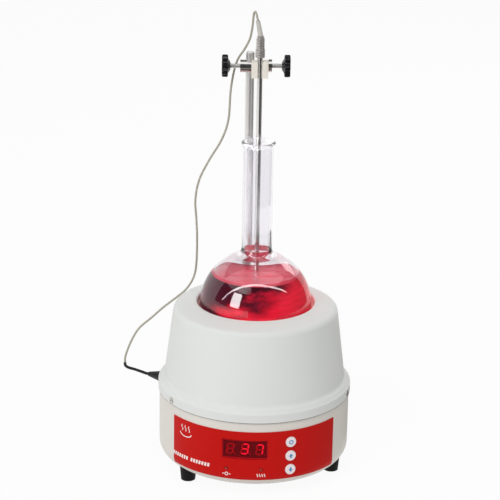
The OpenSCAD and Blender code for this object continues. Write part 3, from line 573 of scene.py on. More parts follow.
def ribbon(line, widths, place, closed=False):
    """Points and faces of a thin closed strip along a flat line, with a width at each point."""
    n = len(line)
    points = []
    for i, p in enumerate(line):
        before = line[i - 1] if closed or i > 0 else p
        after = line[(i + 1) % n] if closed or i < n - 1 else p
        way = Vector((after[0] - before[0], after[1] - before[1])).normalized()
        left = Vector((-way.y, way.x)) * (widths[i] / 2)
        for side, h in ((1, 0), (-1, 0), (-1, 1), (1, 1)):
            points.append(place(p[0] + side * left.x, p[1] + side * left.y, h))
    faces = []
    for i in range(n if closed else n - 1):
        a, b = i * 4, ((i + 1) % n) * 4
        for k in range(4):
            j = (k + 1) % 4
            faces.append((a + k, a + j, b + j, b + k))
    if not closed:
        faces.append((3, 2, 1, 0))
        faces.append(tuple((n - 1) * 4 + k for k in range(4)))
    return points, faces


def joined(parts):
    """Several point and face lists as one."""
    points, faces = [], []
    for p, f in parts:
        base = len(points)
        points.extend(p)
        faces.extend(tuple(i + base for i in face) for face in f)
    return points, faces


# ---------- Geometry Nodes ----------

def growing_tree(name, inputs):
    """A Geometry Nodes tree with named inputs, and the identifier of each."""
    tree = bpy.data.node_groups.new(name, "GeometryNodeTree")
    tree.is_modifier = True
    keys = {}
    for label, kind, value in inputs:
        socket = tree.interface.new_socket(name=label, in_out="INPUT", socket_type=kind)
        if value is not None:
            socket.default_value = value
        keys[label] = socket.identifier
    tree.interface.new_socket(name="Geometry", in_out="OUTPUT", socket_type="NodeSocketGeometry")
    return tree, keys, tree.nodes.new("NodeGroupInput"), tree.nodes.new("NodeGroupOutput")


def node_of(tree, kind, links=None, **settings):
    node = tree.nodes.new(kind)
    for label, value in settings.items():
        setattr(node, label, value)
    for key, value in (links or {}).items():
        if isinstance(value, (int, float, tuple, bool, str)):
            node.inputs[key].default_value = value
        else:
            tree.links.new(value, node.inputs[key])
    return node


def read_attribute(tree, name, kind):
    """A named attribute of the points."""
    return node_of(tree, "GeometryNodeInputNamedAttribute", {"Name": name}, data_type=kind).outputs[0]


def close_tree(tree, geometry, material, result):
    """Ends a tree in Realize Instances and Set Material."""
    real = node_of(tree, "GeometryNodeRealizeInstances", {"Geometry": geometry})
    painted = node_of(tree, "GeometryNodeSetMaterial", {"Geometry": real.outputs[0], "Material": material})
    tree.links.new(painted.outputs[0], result.inputs["Geometry"])


def grown(name, tree, keys, values, body, base=None, smooth=True):
    """The plain mesh that a tree makes, as a finished piece."""
    carrier = add_object(name + "_carrier", base or bpy.data.meshes.new(name + "_carrier"))
    modifier = carrier.modifiers.new(tree.name, "NODES")
    modifier.node_group = tree
    for label, value in values.items():
        modifier[keys[label]] = value
    view = bpy.context.evaluated_depsgraph_get()
    mesh = bpy.data.meshes.new_from_object(carrier.evaluated_get(view))
    bpy.data.objects.remove(carrier)
    if not len(mesh.polygons):
        raise RuntimeError("the tree %s made no faces for %s" % (tree.name, name))
    mesh.name = name
    mesh.polygons.foreach_set("use_smooth", [smooth] * len(mesh.polygons))
    return place_piece(name, mesh, body)


def make_copies_tree():
    """Copies of one shape on points that hold a turn and a stretch."""
    tree, keys, given, result = growing_tree("place_copies", [
        ("Geometry", "NodeSocketGeometry", None),
        ("Shape", "NodeSocketObject", None),
        ("Material", "NodeSocketMaterial", None),
        ("Size", "NodeSocketFloat", 1.0),
    ])
    shape = node_of(tree, "GeometryNodeObjectInfo", {"Object": given.outputs["Shape"]})
    scaled = node_of(tree, "ShaderNodeVectorMath", {
        0: read_attribute(tree, "stretch", "FLOAT_VECTOR"), 3: given.outputs["Size"]}, operation="SCALE")
    cloud = node_of(tree, "GeometryNodeMeshToPoints", {"Mesh": given.outputs["Geometry"]})
    copies = node_of(tree, "GeometryNodeInstanceOnPoints", {
        "Points": cloud.outputs[0], "Instance": shape.outputs["Geometry"],
        "Rotation": read_attribute(tree, "turn", "FLOAT_VECTOR"), "Scale": scaled.outputs[0]})
    close_tree(tree, copies.outputs[0], given.outputs["Material"], result)
    return tree, keys


def make_thread_tree():
    """A fine thread: a spiral with a round ridge along it, on a screw."""
    tree, keys, given, result = growing_tree("screw_thread", [
        ("Radius", "NodeSocketFloat", 0.002),
        ("Pitch", "NodeSocketFloat", 0.0007),
        ("Length", "NodeSocketFloat", 0.008),
        ("Ridge", "NodeSocketFloat", 0.00022),
        ("Material", "NodeSocketMaterial", None),
    ])
    turns = node_of(tree, "ShaderNodeMath", {0: given.outputs["Length"], 1: given.outputs["Pitch"]},
                    operation="DIVIDE")
    spiral = node_of(tree, "GeometryNodeCurveSpiral", {
        "Resolution": 24, "Rotations": turns.outputs[0], "Start Radius": given.outputs["Radius"],
        "End Radius": given.outputs["Radius"], "Height": given.outputs["Length"]})
    ridge = node_of(tree, "GeometryNodeCurvePrimitiveCircle", {
        "Resolution": 6, "Radius": given.outputs["Ridge"]}, mode="RADIUS")
    body = node_of(tree, "GeometryNodeCurveToMesh", {
        "Curve": spiral.outputs[0], "Profile Curve": ridge.outputs[0], "Fill Caps": True})
    close_tree(tree, body.outputs[0], given.outputs["Material"], result)
    return tree, keys


def make_knit_tree():
    """Rows of stitches in a bowl: a grid wrapped round a sphere, with one stitch on each point."""
    tree, keys, given, result = growing_tree("knit_rows", [
        ("Stitch", "NodeSocketObject", None),
        ("Rows", "NodeSocketInt", 15),
        ("Stitches", "NodeSocketInt", 64),
        ("Radius", "NodeSocketFloat", 0.0537),
        ("Middle", "NodeSocketFloat", 0.1586),
        ("Lowest", "NodeSocketFloat", 14.0),
        ("Highest", "NodeSocketFloat", 88.0),
        ("Uneven", "NodeSocketFloat", 0.06),
        ("Seed", "NodeSocketInt", 7),
        ("Material", "NodeSocketMaterial", None),
    ])

    def num(operation, a, b=0.0):
        return node_of(tree, "ShaderNodeMath", {0: a, 1: b}, operation=operation).outputs[0]

    rows, stitches = given.outputs["Rows"], given.outputs["Stitches"]
    grid = node_of(tree, "GeometryNodeMeshGrid", {
        "Size X": 1.0, "Size Y": 1.0, "Vertices X": stitches, "Vertices Y": rows})
    place = node_of(tree, "GeometryNodeInputPosition")
    split = node_of(tree, "ShaderNodeSeparateXYZ", {0: place.outputs[0]})
    # The grid's last column lies one stitch short of the first
    share = num("DIVIDE", num("SUBTRACT", stitches, 1.0), stitches)
    odd = num("MULTIPLY", num("ADD", split.outputs[1], 0.5), num("SUBTRACT", rows, 1.0))
    half = num("MULTIPLY", num("MODULO", num("ROUND", odd), 2.0), num("DIVIDE", math.pi, stitches))
    around = num("ADD", num("MULTIPLY", num("MULTIPLY", split.outputs[0], share), 2 * math.pi), half)
    low = num("RADIANS", given.outputs["Lowest"])
    high = num("RADIANS", given.outputs["Highest"])
    tilt = num("ADD", num("MULTIPLY", num("ADD", split.outputs[1], 0.5), num("SUBTRACT", high, low)), low)
    reach = num("SINE", tilt)
    unit = node_of(tree, "ShaderNodeCombineXYZ", {
        0: num("MULTIPLY", reach, num("COSINE", around)),
        1: num("MULTIPLY", reach, num("SINE", around)),
        2: num("MULTIPLY", num("COSINE", tilt), -1.0)})
    scaled = node_of(tree, "ShaderNodeVectorMath", {0: unit.outputs[0], 3: given.outputs["Radius"]},
                     operation="SCALE")
    lift = node_of(tree, "ShaderNodeCombineXYZ", {2: given.outputs["Middle"]})
    at = node_of(tree, "ShaderNodeVectorMath", {0: scaled.outputs[0], 1: lift.outputs[0]}, operation="ADD")
    # The reach is kept before the points move, because each field reads the place as it is
    kept = node_of(tree, "GeometryNodeStoreNamedAttribute", {
        "Geometry": grid.outputs[0], "Name": "reach", "Value": reach}, data_type="FLOAT", domain="POINT")
    facing = node_of(tree, "GeometryNodeStoreNamedAttribute", {
        "Geometry": kept.outputs[0], "Name": "facing", "Value": unit.outputs[0]},
        data_type="FLOAT_VECTOR", domain="POINT")
    moved = node_of(tree, "GeometryNodeSetPosition", {
        "Geometry": facing.outputs[0], "Position": at.outputs[0]})
    cloud = node_of(tree, "GeometryNodeMeshToPoints", {"Mesh": moved.outputs[0]})
    outward = read_attribute(tree, "facing", "FLOAT_VECTOR")
    out = node_of(tree, "FunctionNodeAlignRotationToVector", {"Vector": outward}, axis="Z")
    flat = node_of(tree, "ShaderNodeSeparateXYZ", {0: outward})
    across = node_of(tree, "ShaderNodeCombineXYZ", {
        0: num("MULTIPLY", flat.outputs[1], -1.0), 1: flat.outputs[0]})
    level = node_of(tree, "FunctionNodeAlignRotationToVector", {
        "Rotation": out.outputs[0], "Vector": across.outputs[0]}, axis="X", pivot_axis="Z")
    jitter = node_of(tree, "FunctionNodeRandomValue", {
        2: num("SUBTRACT", 1.0, given.outputs["Uneven"]), 3: num("ADD", 1.0, given.outputs["Uneven"]),
        8: given.outputs["Seed"]}, data_type="FLOAT")
    scale = node_of(tree, "ShaderNodeCombineXYZ", {
        0: num("MULTIPLY", read_attribute(tree, "reach", "FLOAT"), jitter.outputs[1]), 1: jitter.outputs[1],
        2: 1.0})
    stitch = node_of(tree, "GeometryNodeObjectInfo", {"Object": given.outputs["Stitch"]})
    copies = node_of(tree, "GeometryNodeInstanceOnPoints", {
        "Points": cloud.outputs[0], "Instance": stitch.outputs["Geometry"],
        "Rotation": level.outputs[0], "Scale": scale.outputs[0]})
    close_tree(tree, copies.outputs[0], given.outputs["Material"], result)
    return tree, keys


# ---------- stage ----------

class MANTLE_OT_stage(bpy.types.Operator):
    """Camera, pale floor, soft light and a white background"""
    bl_idname = "mantle.stage"
    bl_label = "Stage"
    # What the bright boxes face
    bulb = (0, 0, 0.16)

    def execute(self, context):
        look = context.scene.mantle_stage
        back = Vector((0, -math.cos(LOOK_DOWN), math.sin(LOOK_DOWN)))
        data = bpy.data.cameras.new("camera")
        data.lens = look.lens
        data.sensor_width = 36
        data.clip_start, data.clip_end = 0.05, 60
        camera = add_object("camera", data)
        camera.location = Vector(AIM) * MM + back * AIM_FROM
        turn = (-back).to_track_quat("-Z", "Y").to_matrix() @ Matrix.Rotation(LOOK_LEAN, 3, "Z")
        camera.rotation_euler = turn.to_euler()
        context.scene.camera = camera

        mesh = bpy.data.meshes.new("floor")
        mesh.from_pydata([(-20, -20, 0), (20, -20, 0), (20, 20, 0), (-20, 20, 0)], [], [(0, 1, 2, 3)])
        mesh.materials.append(self.floor_material())
        floor = add_object("floor", mesh)

        context.scene.world = self.world(look.ambient)
        self.lamp("key", (-1.25, -1.6, 1.55), (0, 0, 0.2), 0.9, 1.1, look.key)
        self.lamp("top", (0.05, -0.75, 1.2), (0, 0, 0.2), 1.2, 0.2, look.key * 0.14)
        self.lamp("back", (0.9, 1.3, 1.1), (0, 0, 0.25), 0.8, 0.8, look.key * 0.30)
        # What polished surfaces see round them: dark in front, greyer at the right, dark high at the left
        # and the back, and a warm table
        self.band("front_card", (-14, 48), (0.7, 0.04), (0.55, 1.0), 0.05)
        self.band("right_card", (48, 128), (0.7, 0.04), (0.7, 0.86), 0.16)
        self.band("left_card", (-92, -14), (0.72, 0.215), (0.72, 0.7), 0.06)
        self.band("back_card", (105, 255), (0.9, 0.82), (0.05, 1.35), 0.1)
        self.band("table_card", (-40, 150), (0.12, 0.003), (0.7, 0.003), 0.13, (1.0, 0.88, 0.8, 1))
        # Two bright boxes whose shapes show in the flask and the knobs, and which light nothing else
        bpy.data.collections.new("shining_pieces")
        self.box_light("window_box", (-0.383, -0.407, 0.369), 0.2, 0.29, 2.4)
        strip = [(-0.602, -0.178, 0.289), (-0.459, -0.263, 0.505), (-0.212, -0.331, 0.664),
                 (0.042, -0.346, 0.696), (0.252, -0.316, 0.656), (0.423, -0.246, 0.573),
                 (0.552, -0.147, 0.447)]
        widths = (0.02, 0.036, 0.05, 0.05, 0.036, 0.022)
        for i, (p, q, width) in enumerate(zip(strip, strip[1:], widths)):
            self.bar_light("strip_box_%d" % i, Vector(p), Vector(q), width)
        context.scene.view_settings.view_transform = "Standard"
        return {"FINISHED"}

    def floor_material(self):
        """Catches soft shadows, and otherwise shows as white as the background."""
        material, tree = bare_material("pale_floor")
        plain = tree.nodes.new("ShaderNodeBsdfDiffuse")
        plain.inputs["Color"].default_value = (0.86, 0.86, 0.86, 1)
        white = tree.nodes.new("ShaderNodeEmission")
        white.inputs["Strength"].default_value = 1.0
        blend_shaders(tree, math_node(tree, "MULTIPLY", self.seen(tree), 0.93), plain, white)
        return material

    def seen(self, tree):
        """1 for rays that show the background: straight, reflected and through glass."""
        path = tree.nodes.new("ShaderNodeLightPath")
        both = math_node(tree, "MAXIMUM", path.outputs["Is Camera Ray"], path.outputs["Is Glossy Ray"])
        return math_node(tree, "MAXIMUM", both, path.outputs["Is Transmission Ray"])

    def world(self, strength):
        """Light from all round, with a plain white background."""
        world = bpy.data.worlds.new("soft_room")
        world.use_nodes = True
        tree = world.node_tree
        sky = next(n for n in tree.nodes if n.type == "BACKGROUND")
        sky.inputs["Color"].default_value = (1, 1, 1, 1)
        shown = math_node(tree, "MULTIPLY", self.seen(tree), 1.0 - strength)
        tree.links.new(math_node(tree, "ADD", shown, strength), sky.inputs["Strength"])
        return world

    def lamp(self, name, at, towards, width, height, power):
        """A soft rectangular lamp, in metres and watts, that shows in nothing."""
        data = bpy.data.lights.new(name, "AREA")
        data.shape = "RECTANGLE"
        data.size, data.size_y = width, height
        data.energy = power
        lamp = add_object(name, data)
        lamp.location = at
        lamp.rotation_euler = (Vector(towards) - Vector(at)).to_track_quat("-Z", "Y").to_euler()
        lamp.visible_camera = False
        lamp.visible_glossy = False
        return lamp

    def box_light(self, name, at, width, height, power):
        """A lamp whose shape shows in the shining pieces, and which lights them alone."""
        lamp = self.lamp(name, at, self.bulb, width, height, power)
        lamp.visible_glossy = True
        lamp.light_linking.receiver_collection = bpy.data.collections["shining_pieces"]
        return lamp

    def bar_light(self, name, p, q, width):
        """A thin lamp from one point to another, facing the flask."""
        bright, long = 13, (q - p).length
        lamp = self.box_light(name, (p + q) / 2, long, width, bright * math.pi * long * width)
        along = (q - p).normalized()
        back = ((p + q) / 2 - Vector(self.bulb)).normalized()
        back = (back - along * back.dot(along)).normalized()
        lamp.rotation_euler = Matrix((along, back.cross(along), back)).transposed().to_euler()

    def band(self, name, azimuths, low, high, tone, tint=(1, 1, 1, 1)):
        """A card bent round the object, from one radius and height to another."""
        steps = 48
        points = []
        for i in range(steps + 1):
            a = math.radians(azimuths[0] + (azimuths[1] - azimuths[0]) * i / steps)
            points += [(r * math.sin(a), -r * math.cos(a), z) for r, z in (low, high)]
        self.card(name, points, [(2 * i, 2 * i + 2, 2 * i + 3, 2 * i + 1) for i in range(steps)], tone, tint)

    def card(self, name, points, faces, tone, tint=(1, 1, 1, 1)):
        """A plain card that only reflections show."""
        mesh = bpy.data.meshes.new(name)
        mesh.from_pydata(points, [], faces)
        material, tree = bare_material(name)
        glow = tree.nodes.new("ShaderNodeEmission")
        glow.inputs["Color"].default_value = tint
        glow.inputs["Strength"].default_value = tone
        # Seen straight through glass, the card lets the background show
        path = tree.nodes.new("ShaderNodeLightPath")
        straight_on = math_node(tree, "LESS_THAN", path.outputs["Glossy Depth"], 0.5)
        through = math_node(tree, "MULTIPLY", path.outputs["Is Transmission Ray"], straight_on)
        blend_shaders(tree, through, glow, tree.nodes.new("ShaderNodeBsdfTransparent"))
        mesh.materials.append(material)
        card = add_object(name, mesh)
        card.visible_camera = False
        card.visible_diffuse = False
        card.visible_shadow = False


# ---------- cable ----------

class MANTLE_OT_cable(bpy.types.Operator):
    """The probe's cable, hanging from its boot to its black sleeve and plug"""
    bl_idname = "mantle.cable"
    bl_label = "Cable"

    def execute(self, context):
        look = context.scene.mantle_cable
        jacket = plastic("cable_jacket", look.jacket, 0.5, 1600, 0.1)
        black = plastic("black_sleeve", look.sleeve, 0.42, 1400, 0.15)
        path = along_route(CABLE_ROUTE, 8)
        length = sum((b - a).length for a, b in zip(path, path[1:]))
        points, faces = tube(path, look.diameter / 2)
        cable = solid_mesh("cable", points, faces, [jacket], None, ("probe_cable",))
        creased(cable, 60)

        line = along_route(SLEEVE_ROUTE, 8)
        # A few grip rings near the sleeve's end
        radii = [1.4 + 0.12 * max(0.0, math.sin(i * 1.3)) * (i % 48 > 30) for i in range(len(line))]
        points, faces = tube(line, 1.4, 16, radii)
        sleeve = solid_mesh("sleeve", points, faces, [black], "root", ("cable_sleeve",))
        creased(sleeve, 60)
        plug = dress("probe_plug", black)
        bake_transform(cable)
        tuple(c * MM for c in CABLE_ROUTE[0])
        [tuple(c * MM for c in p) for p in path]
        return {"FINISHED"}


# ---------- housing ----------

class MANTLE_OT_housing(bpy.types.Operator):
    """Enamelled housing and cover, their screws, feet and fittings"""
    bl_idname = "mantle.housing"
    bl_label = "Housing"

    def execute(self, context):
        look = context.scene.mantle_housing
        enamel = {"Coat Weight": 0.12, "Coat Roughness": 0.3}
        for node, name, c in (("upper_cover", "cover_enamel", look.cover),
                              ("lower_housing", "housing_enamel", look.housing)):
            dress(node, finish(name, "fine_grain", c, look.grain, 0.0001, constants=enamel, Scale=1500.0,
                               Spread=0.02, Gloss=0.45, Uneven=0.08))
        rubber = plastic("foot_rubber", look.foot, 0.6, 1100, 0.25, {"Specular IOR Level": 0.2})
        zinc = metal("plated_steel", srgb(226, 222, 214), 0.42, (1, 1, 1), 300)
        for node in ("front_left_foot", "front_right_foot", "rear_foot"):
            dress(node, rubber)
        for node in ("cover_screws", "foot_screws", "foot_nuts", "pillar_nuts", "support_pillars",
                     "rod_socket_nut", "probe_socket_nut"):
            dress(node, zinc)
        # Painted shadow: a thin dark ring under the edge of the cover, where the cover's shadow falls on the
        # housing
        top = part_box("upper_cover")[0][2] / MM
        low, inner, outer = top - 0.45, HOUSING_R - 0.2, HOUSING_R + 1.1
        points, faces = turned([(inner, low), (outer, low), (outer, top), (inner, top)], 160, True)
        # Grey of the painted shadow ring
        rubber = plastic("shadow_ring_paint", srgb(120, 120, 116), 0.6)
        creased(solid_mesh("cover_seal", points, faces, [rubber], "root"), 30)
        return {"FINISHED"}


# ---------- control panel ----------

class MANTLE_OT_panel(bpy.types.Operator):
    """Red printed panel with its marks and the tinted window"""
    bl_idname = "mantle.panel"
    bl_label = "Control Panel"

    def execute(self, context):
        look = context.scene.mantle_panel
        red = finish("panel_print", "fine_grain", look.print_red, 0.12, 0.00008, Scale=2200.0, Spread=0.05,
                     Gloss=0.45, Uneven=0.08, constants={"Specular IOR Level": 0.14})
        dress("control_panel", red)
        ink = plastic("printed_marks", look.mark, 0.5, 2500, 0.05)
        points, faces = joined([*self.heat_sign(), *self.dashes(), *self.lamp_signs()])
        creased(solid_mesh("panel_marks", points, faces, [ink], "root"), 30)
        dress("display_window", self.tinted(look.window))
        return {"FINISHED"}

    def heat_sign(self):
        """Three rising waves of warmth over a short bowl, upper left."""
        place = on_wall(-44.0, 56.0, PANEL_R, PRINT_THICK)
        for x in (-4.4, 0.0, 4.4):
            wave = [(x + 0.8 * math.sin(t * math.pi / 4), -0.2 + t * 0.72) for t in range(9)]
            yield ribbon(wave, [0.85] * 9, place)
        turns = [math.radians(a) for a in range(180, 361, 12)]
        bowl = [(7.2 * math.cos(a), -2.2 + 3.4 * math.sin(a)) for a in turns]
        yield ribbon(bowl, [0.95] * len(bowl), place)

    def dashes(self):
        """A stripe of leaning dashes in two runs, lower left."""
        place = on_wall(-41.5, 29.4, PANEL_R, PRINT_THICK)
        for start in (-21.2, 3.4):
            for k in range(7):
                x = start + 3.15 * k
                yield ribbon([(x, -1.75), (x + 0.9, 1.75)], [2.1, 2.1], place)

    def lamp_signs(self):
        """Signs under the two lamps: a ring between bars for setting, and waves for warming."""
        place = on_wall(WINDOW_AZ, LAMP_Z - 5.6, PANEL_R, PRINT_THICK)
        ring_x, wave_x = LAMP_X
        ring = ring_line(ring_x, 0, 1.4, 20)
        yield ribbon(ring, [0.8] * len(ring), place, True)
        for side in (-1, 1):
            yield ribbon([(ring_x + side * 2.3, 0), (ring_x + side * 3.9, 0)], [0.8, 0.8], place)
        for dx in (-3.3, -1.1, 1.1, 3.3):
            wave = [(wave_x + dx + 0.4 * math.sin(t * math.pi / 3), -1.5 + t * 0.5) for t in range(7)]
            yield ribbon(wave, [0.8] * 7, place)

    def tinted(self, c):
        """Clear tinted sheet: the tint is its own colour, and lamps shine through it."""
        material = finish("tinted_window", "fine_grain", c, 0, Scale=300.0, Spread=0.05, Gloss=0.08,
                          Uneven=0.05, constants={"Transmission Weight": 0.9, "IOR": 1.3})
        lamps_through(material.node_tree, principled(material.node_tree), rgba(c))
        return material


# ---------- display ----------

# Bars lit for each sign, and each bar's place in the digit with how it lies: 0 level, 1 upright
LIT = {"0": "abcdef", "1": "bc", "2": "abged", "3": "abgcd", "4": "fgbc", "5": "afgcd", "6": "afgedc",
       "7": "abc", "8": "abcdefg", "9": "abcdfg", " ": ""}
BARS = {"a": (0, 1, 0), "d": (0, -1, 0), "g": (0, 0, 0), "b": (1, 0.5, 1), "c": (1, -0.5, 1),
        "e": (-1, -0.5, 1), "f": (-1, 0.5, 1)}


class MANTLE_OT_display(bpy.types.Operator):
    """Seven-bar digits, lit and unlit, on the module behind the window, and the two lamps"""
    bl_idname = "mantle.display"
    bl_label = "Display"

    def execute(self, context):
        look = context.scene.mantle_panel
        dress("display_module", plastic("display_face", srgb(74, 14, 16), 0.5, 1200, 0.05))
        dress("display_board", plastic("circuit_board", srgb(26, 92, 56), 0.4, 700, 0.1))
        for node in ("set_lamp", "heat_lamp"):
            dress(node, plastic("lamp_lens", srgb(168, 36, 32), 0.3, 600, 0.02))
        bar = self.bar()
        tree, keys = make_copies_tree()
        lit, unlit = self.digits(look.text)
        for name, bars, material in (
                ("lit_bars", lit, self.glowing("lit_bar", look.lit, 1.25)),
                ("unlit_bars", unlit, plastic("unlit_bar", look.unlit, 0.5, 900, 0.05))):
            grown(name, tree, keys, {"Shape": bar, "Material": material, "Size": 1.0}, "root",
                  base=self.cloud(bars), smooth=False)
        bpy.data.objects.remove(bar)
        return {"FINISHED"}

    def digits(self, text):
        """Places of the lit and of the unlit bars of three digits, and how each bar lies."""
        lit, unlit = [], []
        for i, sign in enumerate(text[:3]):
            middle = (i - 1) * DIGIT_PITCH
            for name, (dx, dz, lies) in BARS.items():
                x, z = middle + dx * DIGIT_W + dz * DIGIT_H * 0.14, dz * DIGIT_H
                (lit if name in LIT.get(sign, "") else unlit).append((x, z, lies))
            # The dark point at the digit's foot
            unlit.append((middle + 4.6, -4.9, 2))
        return lit, unlit

    def bar(self):
        """One long bar with pointed ends, lying along X and facing -Y."""
        outline = [(-2.75, 0), (-2.0, 0.72), (2.0, 0.72), (2.75, 0), (2.0, -0.72), (-2.0, -0.72)]
        points = [(x, y, z) for y in (-0.08, 0.0) for x, z in outline]
        faces = [tuple(range(6)), tuple(reversed(range(6, 12)))]
        faces += [(i, i + 6, (i + 1) % 6 + 6, (i + 1) % 6) for i in range(6)]
        return solid_mesh("bar_shape", points, faces, [], None, smooth=False)

    def cloud(self, bars):
        """Points for the bars, with a turn and a stretch each; a bar lies level, upright or as a point."""
        a = math.radians(WINDOW_AZ)
        stretches = ((0.94, 1.0, 1.0), (0.8, 1.0, 1.0), (0.25, 1.0, 0.9))
        mesh = bpy.data.meshes.new("bar_points")
        places, turns, sizes = [], [], []
        for x, z, lies in bars:
            places.append(((x * math.cos(a) + DIGIT_FACE * math.sin(a)) * MM,
                           (x * math.sin(a) - DIGIT_FACE * math.cos(a)) * MM, (WINDOW_Z + z) * MM))
            lean = math.radians(90 - DIGIT_LEAN) if lies == 1 else 0.0
            turns.append((0.0, -lean, a))
            sizes.append(stretches[lies])
        mesh.from_pydata(places, [], [])
        for label, values in (("turn", turns), ("stretch", sizes)):
            data = mesh.attributes.new(label, "FLOAT_VECTOR", "POINT").data
            for i, value in enumerate(values):
                data[i].vector = value
        return mesh

    def glowing(self, name, c, strength):
        """Plastic lit from behind, that glows in its own colour."""
        material = plastic(name, c, 0.4, 900, 0.02)
        shader = principled(material.node_tree)
        source = shader.inputs["Base Color"].links[0].from_socket
        material.node_tree.links.new(source, shader.inputs["Emission Color"])
        shader.inputs["Emission Strength"].default_value = strength
        return material


# ---------- keys ----------

class MANTLE_OT_keys(bpy.types.Operator):
    """Round white keys, each with a plain sign on its face"""
    bl_idname = "mantle.keys"
    bl_label = "Keys"

    def execute(self, context):
        look = context.scene.mantle_panel
        face = plastic("key_face", look.key, 0.38, 1300, 0.06)
        ink = plastic("key_sign", look.sign, 0.45, 2000, 0.04)
        for node, step in (("set_key", 1), ("up_key", 0), ("down_key", -1)):
            dress(node, face)
            points, faces = joined(self.sign(node, KEY_Z + step * KEY_PITCH))
            creased(solid_mesh(node + "_sign", points, faces, [ink], node), 30)
        dress("key_board", bpy.data.materials["circuit_board"])
        dress("key_switches", plastic("moulded_black", srgb(24, 24, 25), 0.4, 1000, 0.15))
        return {"FINISHED"}

    def sign(self, node, z):
        """A ring on the set key, an arrow on the others."""
        a = math.radians(KEY_AZ)

        def place(x, y, h):
            r = KEY_FACE + 0.04 * h
            return (x * math.cos(a) + r * math.sin(a), x * math.sin(a) - r * math.cos(a), z + y)

        if node == "set_key":
            ring = ring_line(0, 0, 1.7, 18)
            yield ribbon(ring, [1.0] * len(ring), place, True)
            return
        up = 1 if node == "up_key" else -1
        yield ribbon([(0, -0.5 * up), (0, 2.4 * up)], [4.4, 0.05], place)
        yield ribbon([(0, -2.3 * up), (0, -0.5 * up)], [1.5, 1.5], place)


# ---------- heater ----------

class MANTLE_OT_heater(bpy.types.Operator):
    """Knitted heating cup, and the insulation, bowl and shield behind it"""
    bl_idname = "mantle.heater"
    bl_label = "Heater"

    def execute(self, context):
        look = context.scene.mantle_flask
        yarn = finish("glass_yarn", "fine_grain", look.knit, 0.5, 0.0002, Scale=1400.0, Spread=0.35,
                      Gloss=0.85, Uneven=0.1, constants={"Sheen Weight": 0.2, "Sheen Roughness": 0.5})
        line = arc((0, FLASK_Z), CUP_OUT, -90, -2.5, 40)
        line.append((CUP_IN + 1.2, FLASK_Z - 1.2))
        line += list(reversed(arc((0, FLASK_Z), CUP_IN, -90, -2.0, 40)))
        points, faces = turned(line, 128)
        solid_mesh("cup_backing", points, faces, [yarn], "root", ("heating_cup",))
        stitch = self.stitch()
        tree, keys = make_knit_tree()
        grown("cup_stitches", tree, keys, {
            "Stitch": stitch, "Rows": look.rows, "Stitches": look.stitches, "Radius": (CUP_IN - 0.55) * MM,
            "Middle": FLASK_Z * MM, "Lowest": 12.0, "Highest": 86.0, "Uneven": 0.05, "Seed": 7,
            "Material": yarn}, "root")
        bpy.data.objects.remove(stitch)
        felt = finish("felted_fibre", "fine_grain", srgb(240, 236, 226), 0.5, 0.0003, Scale=700.0,
                      Spread=0.12, Gloss=0.95, Uneven=0.05)
        dress("insulation", felt)
        spun = metal("spun_aluminium", srgb(206, 207, 210), 0.3, (1, 1, 6), 200)
        for node in ("inner_bowl", "heat_shield", "triac_heatsink"):
            dress(node, spun)
        return {"FINISHED"}

    def stitch(self):
        """Two plump flat strands that lean together, as one knitted stitch seen from the front."""
        parts = []
        for side in (-1, 1):
            path = [Vector((side * (0.3 + 1.5 * t + 0.25 * math.sin(t * math.pi)), -1.9 + 3.9 * t, 0.0))
                    for t in (0.0, 0.25, 0.5, 0.75, 1.0)]
            points, faces = tube(path, 1.0, 6, [0.40, 0.85, 1.0, 0.85, 0.42])
            parts.append(([(x, y, z * 0.62) for x, y, z in points], faces))
        points, faces = joined(parts)
        return solid_mesh("stitch_shape", points, faces, [], None)


# ---------- flask ----------

def flask_line():
    """Outside of the flask, from the bottom of the bulb to just under the rim."""
    reach = FLASK_R + NECK_FILLET
    turn = math.degrees(math.acos((NECK_R + NECK_FILLET) / reach))
    mid = (NECK_R + NECK_FILLET, FLASK_Z + reach * math.sin(math.radians(turn)))
    line = arc((0, FLASK_Z), FLASK_R, -90, turn, 90)
    line += arc(mid, NECK_FILLET, 180 + turn - 5, 180, 12)
    line += [(NECK_R, z) for z in (230, 250, 270, 290, RIM_Z - 9)]
    return line


